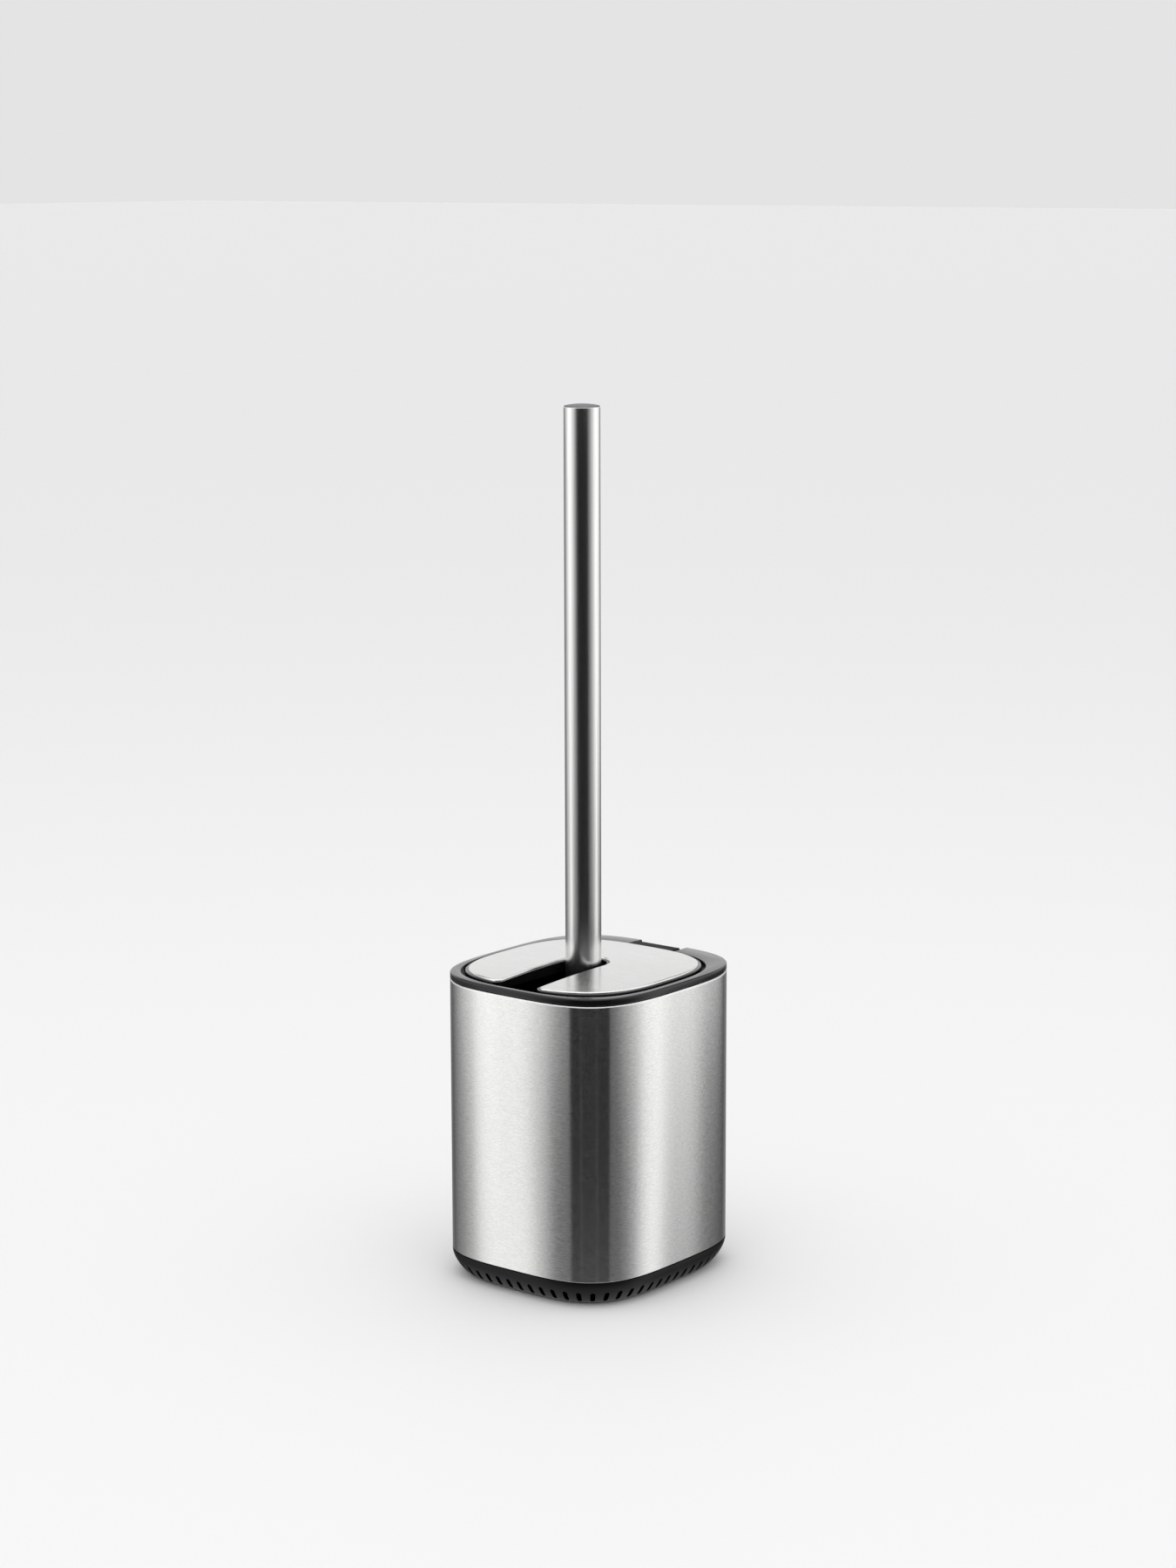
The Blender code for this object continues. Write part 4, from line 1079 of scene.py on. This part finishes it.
def head_bristles():
    """The tufts: staggered rings of small bundles that leave the core square to it and splay a little.

    Each bundle reaches the head's rounded outline, and the bundles round the tip lean down and out.
    """
    low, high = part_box("head_bristles")
    core_low, core_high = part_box("head_core")
    reach, core, depth = high.x, core_high.x, 1.0 * MM
    middle, half = (low.z + high.z) / 2, (high.z - low.z) / 2
    power = 2.3
    draw = random.Random(7)

    def outline_distance(start, direction):
        """How far a bristle runs from its root to the head's outline."""
        near, far = 0.0, 0.1
        for _ in range(30):
            length = (near + far) / 2
            point = start + direction * length
            out = (math.hypot(point.x, point.y) / reach) ** power + (abs(point.z - middle) / half) ** power
            near, far = (length, far) if out < 1 else (near, length)
        return near

    def outward(turn):
        return Vector((math.cos(turn), math.sin(turn), 0))

    roots = []
    rings, tufts = 15, 18
    first, last = core_low.z + core * 0.9, high.z - 7 * MM
    for ring in range(rings):
        share = ring / (rings - 1)
        tilt = math.radians(-20 + 34 * share)
        for number in range(tufts):
            out = outward(2 * math.pi * (number + ring % 2 / 2) / tufts)
            direction = (out * math.cos(tilt) + Vector((0, 0, math.sin(tilt)))).normalized()
            roots.append((out * (core - depth) + Vector((0, 0, first + (last - first) * share)), direction))
    tip = Vector((0, 0, core_low.z + core))
    for lean, count in ((0, 1), (20, 6), (40, 11), (60, 15)):
        angle = math.radians(lean)
        for number in range(count):
            turn = 2 * math.pi * (number + 0.25 * (lean > 30)) / count
            direction = outward(turn) * math.sin(angle) - Vector((0, 0, math.cos(angle)))
            roots.append((tip + direction * (core - depth), direction))

    # One tapered strand, 1 m long and 1 m thick until it is sized
    deselect()
    bpy.ops.mesh.primitive_cone_add(
        vertices=4, radius1=0.5, radius2=0.36, depth=1.0, location=(0, 0, 0.5), end_fill_type="NGON",
    )
    bristle = bpy.context.object
    settle(bristle)
    bundle, thickness = 14, 0.42 * MM
    strands = []
    for start, direction in roots:
        side = direction.orthogonal().normalized()
        over = direction.cross(side)
        for number in range(bundle):
            spin = 2.4 * number + draw.uniform(-0.3, 0.3)
            spread = 0.28 * MM * math.sqrt(number + 0.3)
            offset = (side * math.cos(spin) + over * math.sin(spin)) * spread
            aim = (direction + offset * draw.uniform(80, 150)).normalized()
            root = start + offset
            length = outline_distance(root, aim) * draw.uniform(0.955, 0.998)
            copy = own_copy(bristle)
            turn = aim.to_track_quat("Z", "Y").to_matrix().to_4x4()
            size = Matrix.Diagonal((thickness, thickness, length, 1))
            copy.data.transform(Matrix.Translation(root + Vector((0, BRUSH_Y, 0))) @ turn @ size)
            strands.append(copy)
    bpy.data.objects.remove(bristle)
    piece = joined(strands, "nylon_tufts")
    finished(piece, NYLON, "brush", "bristle_nylon", "head_bristles", angle=40)


# Stage

AZIMUTH = math.radians(38.41)
ELEVATION = math.radians(10.35)
ROLL = math.radians(-0.144)
DISTANCE = 1.710
LOOK_HEIGHT = 0.200
ASIDE, RAISED = 0.00018, 0.05016    # how far the camera is moved to its right and up, in metres
LENS = 78.56
SHIFT_X, SHIFT_Y = -0.0006, -0.0028


def camera():
    """The camera at a low three-quarter angle that shows the slot's mouth and the front right corner."""
    level = math.cos(ELEVATION)
    back = Vector((math.sin(AZIMUTH) * level, -math.cos(AZIMUTH) * level, math.sin(ELEVATION)))
    right = Vector((math.cos(AZIMUTH), math.sin(AZIMUTH), 0))
    up = back.cross(right)
    data = bpy.data.cameras.new("camera")
    data.sensor_width = 36.0
    data.lens = LENS
    data.shift_x = SHIFT_X
    data.shift_y = SHIFT_Y
    data.clip_start, data.clip_end = 0.05, 100.0
    made = bpy.data.objects.new("camera", data)
    place = Vector((0, 0, LOOK_HEIGHT)) + back * DISTANCE + right * ASIDE + up * RAISED
    turn = Matrix((right, up, back)).transposed().to_4x4()
    made.matrix_world = Matrix.Translation(place) @ turn @ Matrix.Rotation(ROLL, 4, "Z")
    bpy.context.scene.collection.objects.link(made)
    bpy.context.scene.camera = made


def floor():
    """A plain pale floor. Steel reflects the studio's own walls instead of it, as on a lit table."""
    deselect()
    bpy.ops.mesh.primitive_plane_add(size=60, location=(0, 0, -HAIR))
    made = bpy.context.object
    made.name = "floor"
    surface, tree, shader = blank("pale_floor")
    feed(tree, shader, {"Base Color": linear("#E4E4E4"), "Roughness": 0.7})
    made.data.materials.append(surface)
    made.visible_glossy = False


def overhead_light():
    """A broad soft light above, which isn't seen or reflected."""
    data = bpy.data.lights.new("overhead", "AREA")
    data.shape = "RECTANGLE"
    data.size = data.size_y = 1.8
    data.energy = 12
    made = bpy.data.objects.new("overhead", data)
    made.location = (0.3, -0.4, 2.2)
    aim = Vector((0, 0, 0.1)) - Vector(made.location)
    made.rotation_euler = aim.to_track_quat("-Z", "Y").to_euler()
    made.visible_camera = False
    made.visible_glossy = False
    bpy.context.scene.collection.objects.link(made)


def studio():
    """The studio's walls: two broad soft panels at the sides, a black one behind the camera, pale walls
    behind the object and a light ceiling, which has a dark band over the pale walls.

    Angles are from the camera's own direction, round to its right. Heights are the upward part of a
    direction, from -1 straight down to 1 straight up.
    """
    pale_wall, ceiling, dark_band, floor_light = 1.05, 1.5, 0.12, 0.8
    fill_light, backdrop = 1.0, 0.775
    world = bpy.data.worlds.new("studio")
    bpy.context.scene.world = world
    world.use_nodes = True
    tree = world.node_tree
    tree.nodes.clear()
    direction = node(tree, "ShaderNodeTexCoord").outputs["Generated"]
    parts = node(tree, "ShaderNodeSeparateXYZ", {}, {0: direction}).outputs

    def maths(operation, *values):
        return node(tree, "ShaderNodeMath", {"operation": operation}, dict(enumerate(values))).outputs[0]

    towards_camera = math.atan2(-math.cos(AZIMUTH), math.sin(AZIMUTH))
    heading = maths("SUBTRACT", maths("ARCTAN2", parts["Y"], parts["X"]), towards_camera)
    wrapped = maths("WRAP", maths("ADD", heading, math.pi), 2 * math.pi, 0.0)
    share = maths("DIVIDE", wrapped, 2 * math.pi)

    def grey(value):
        return (value, value, value, 1.0)

    def by_heading(stops):
        return ramp(tree, share, [((angle + 180) / 360, grey(value)) for angle, value in stops])

    def by_height(low, high):
        return node(tree, "ShaderNodeMapRange", {"interpolation_type": "SMOOTHSTEP"}, {
            "Value": parts["Z"], 1: low, 2: high, 3: 0.0, 4: 1.0,
        }).outputs["Result"]

    def over(factor, below, above):
        return node(tree, "ShaderNodeMix", {"data_type": "RGBA"}, {0: factor, 6: below, 7: above}).outputs[2]

    low_walls = by_heading([
        (-180, 0.36), (-158, 0.22), (-146, 0.1), (-134, 0.2), (-112, 0.34), (-96, 0.6), (-88, 1.15),
        (-80, 1.5), (-74, 0.75), (-60, 0.23), (-50, 0.18), (-38, 0.16), (-37.4, 0.006), (-20, 0.006),
        (-19, 0.16), (-18, 0.006), (11, 0.006), (12, 0.16), (13, 0.006), (36.8, 0.006), (37.4, 0.12),
        (54, 0.13), (68, 0.25), (80, 0.5), (92, 1.15), (101, 1.5), (107, 0.55), (112, 0.22), (128, 0.13),
        (144, 0.07), (156, 0.22), (180, 0.36),
    ])
    high_walls = by_heading([
        (-180, 0.5), (-150, 0.25), (-138, 0.2), (-126, 0.45), (-106, 1.15), (-85, 1.7), (-67, 1.25),
        (-50, 0.6), (-38, 0.36), (-37.4, 0.004), (0, 0.006), (37.4, 0.004), (38, 0.18), (50, 0.36),
        (60, 0.66), (74, 1.1), (89, 1.5), (106, 1.6), (128, 1.1), (140, 0.3), (150, 0.28), (180, 0.5),
    ])
    behind = by_heading([(-180, 1.0), (-125, 1.0), (-105, 0.0), (105, 0.0), (125, 1.0), (180, 1.0)])
    walls = over(by_height(-0.22, -0.15), low_walls, high_walls)
    room = over(maths("MULTIPLY", by_height(-0.04, 0.1), behind), walls, grey(pale_wall))
    before = over(by_height(0.36, 0.44), room, grey(ceiling))
    beyond = over(by_height(0.46, 0.54), room, grey(dark_band))
    beyond = over(by_height(0.62, 0.7), beyond, grey(ceiling))
    room = over(by_height(-0.62, -0.72), over(behind, before, beyond), grey(floor_light))
    path = node(tree, "ShaderNodeLightPath").outputs
    lit = over(path["Is Glossy Ray"], grey(fill_light), room)
    seen = over(path["Is Camera Ray"], lit, grey(backdrop))
    background = node(tree, "ShaderNodeBackground", {}, {"Color": seen, "Strength": 1.0})
    node(tree, "ShaderNodeOutputWorld", {}, {"Surface": background.outputs["Background"]})


camera()
floor()
studio()
overhead_light()
bpy.context.scene.view_settings.view_transform = "Standard"

outer_shell()
inner_sleeve()
top_collar()
vented_base()
drip_cup()
base_screws()
pads("rubber_foot", "foot_pad", 4, "canister", (0.12, 0.42))
hinge_pin()
lid_plate()
lid_frame()
pads("rubber_bumper", "lid_bumper", 2, "lid", ())
handle_tube()
handle_end_cap()
handle_plug()
stem()
stem_seal()
head_core()
head_bristles()
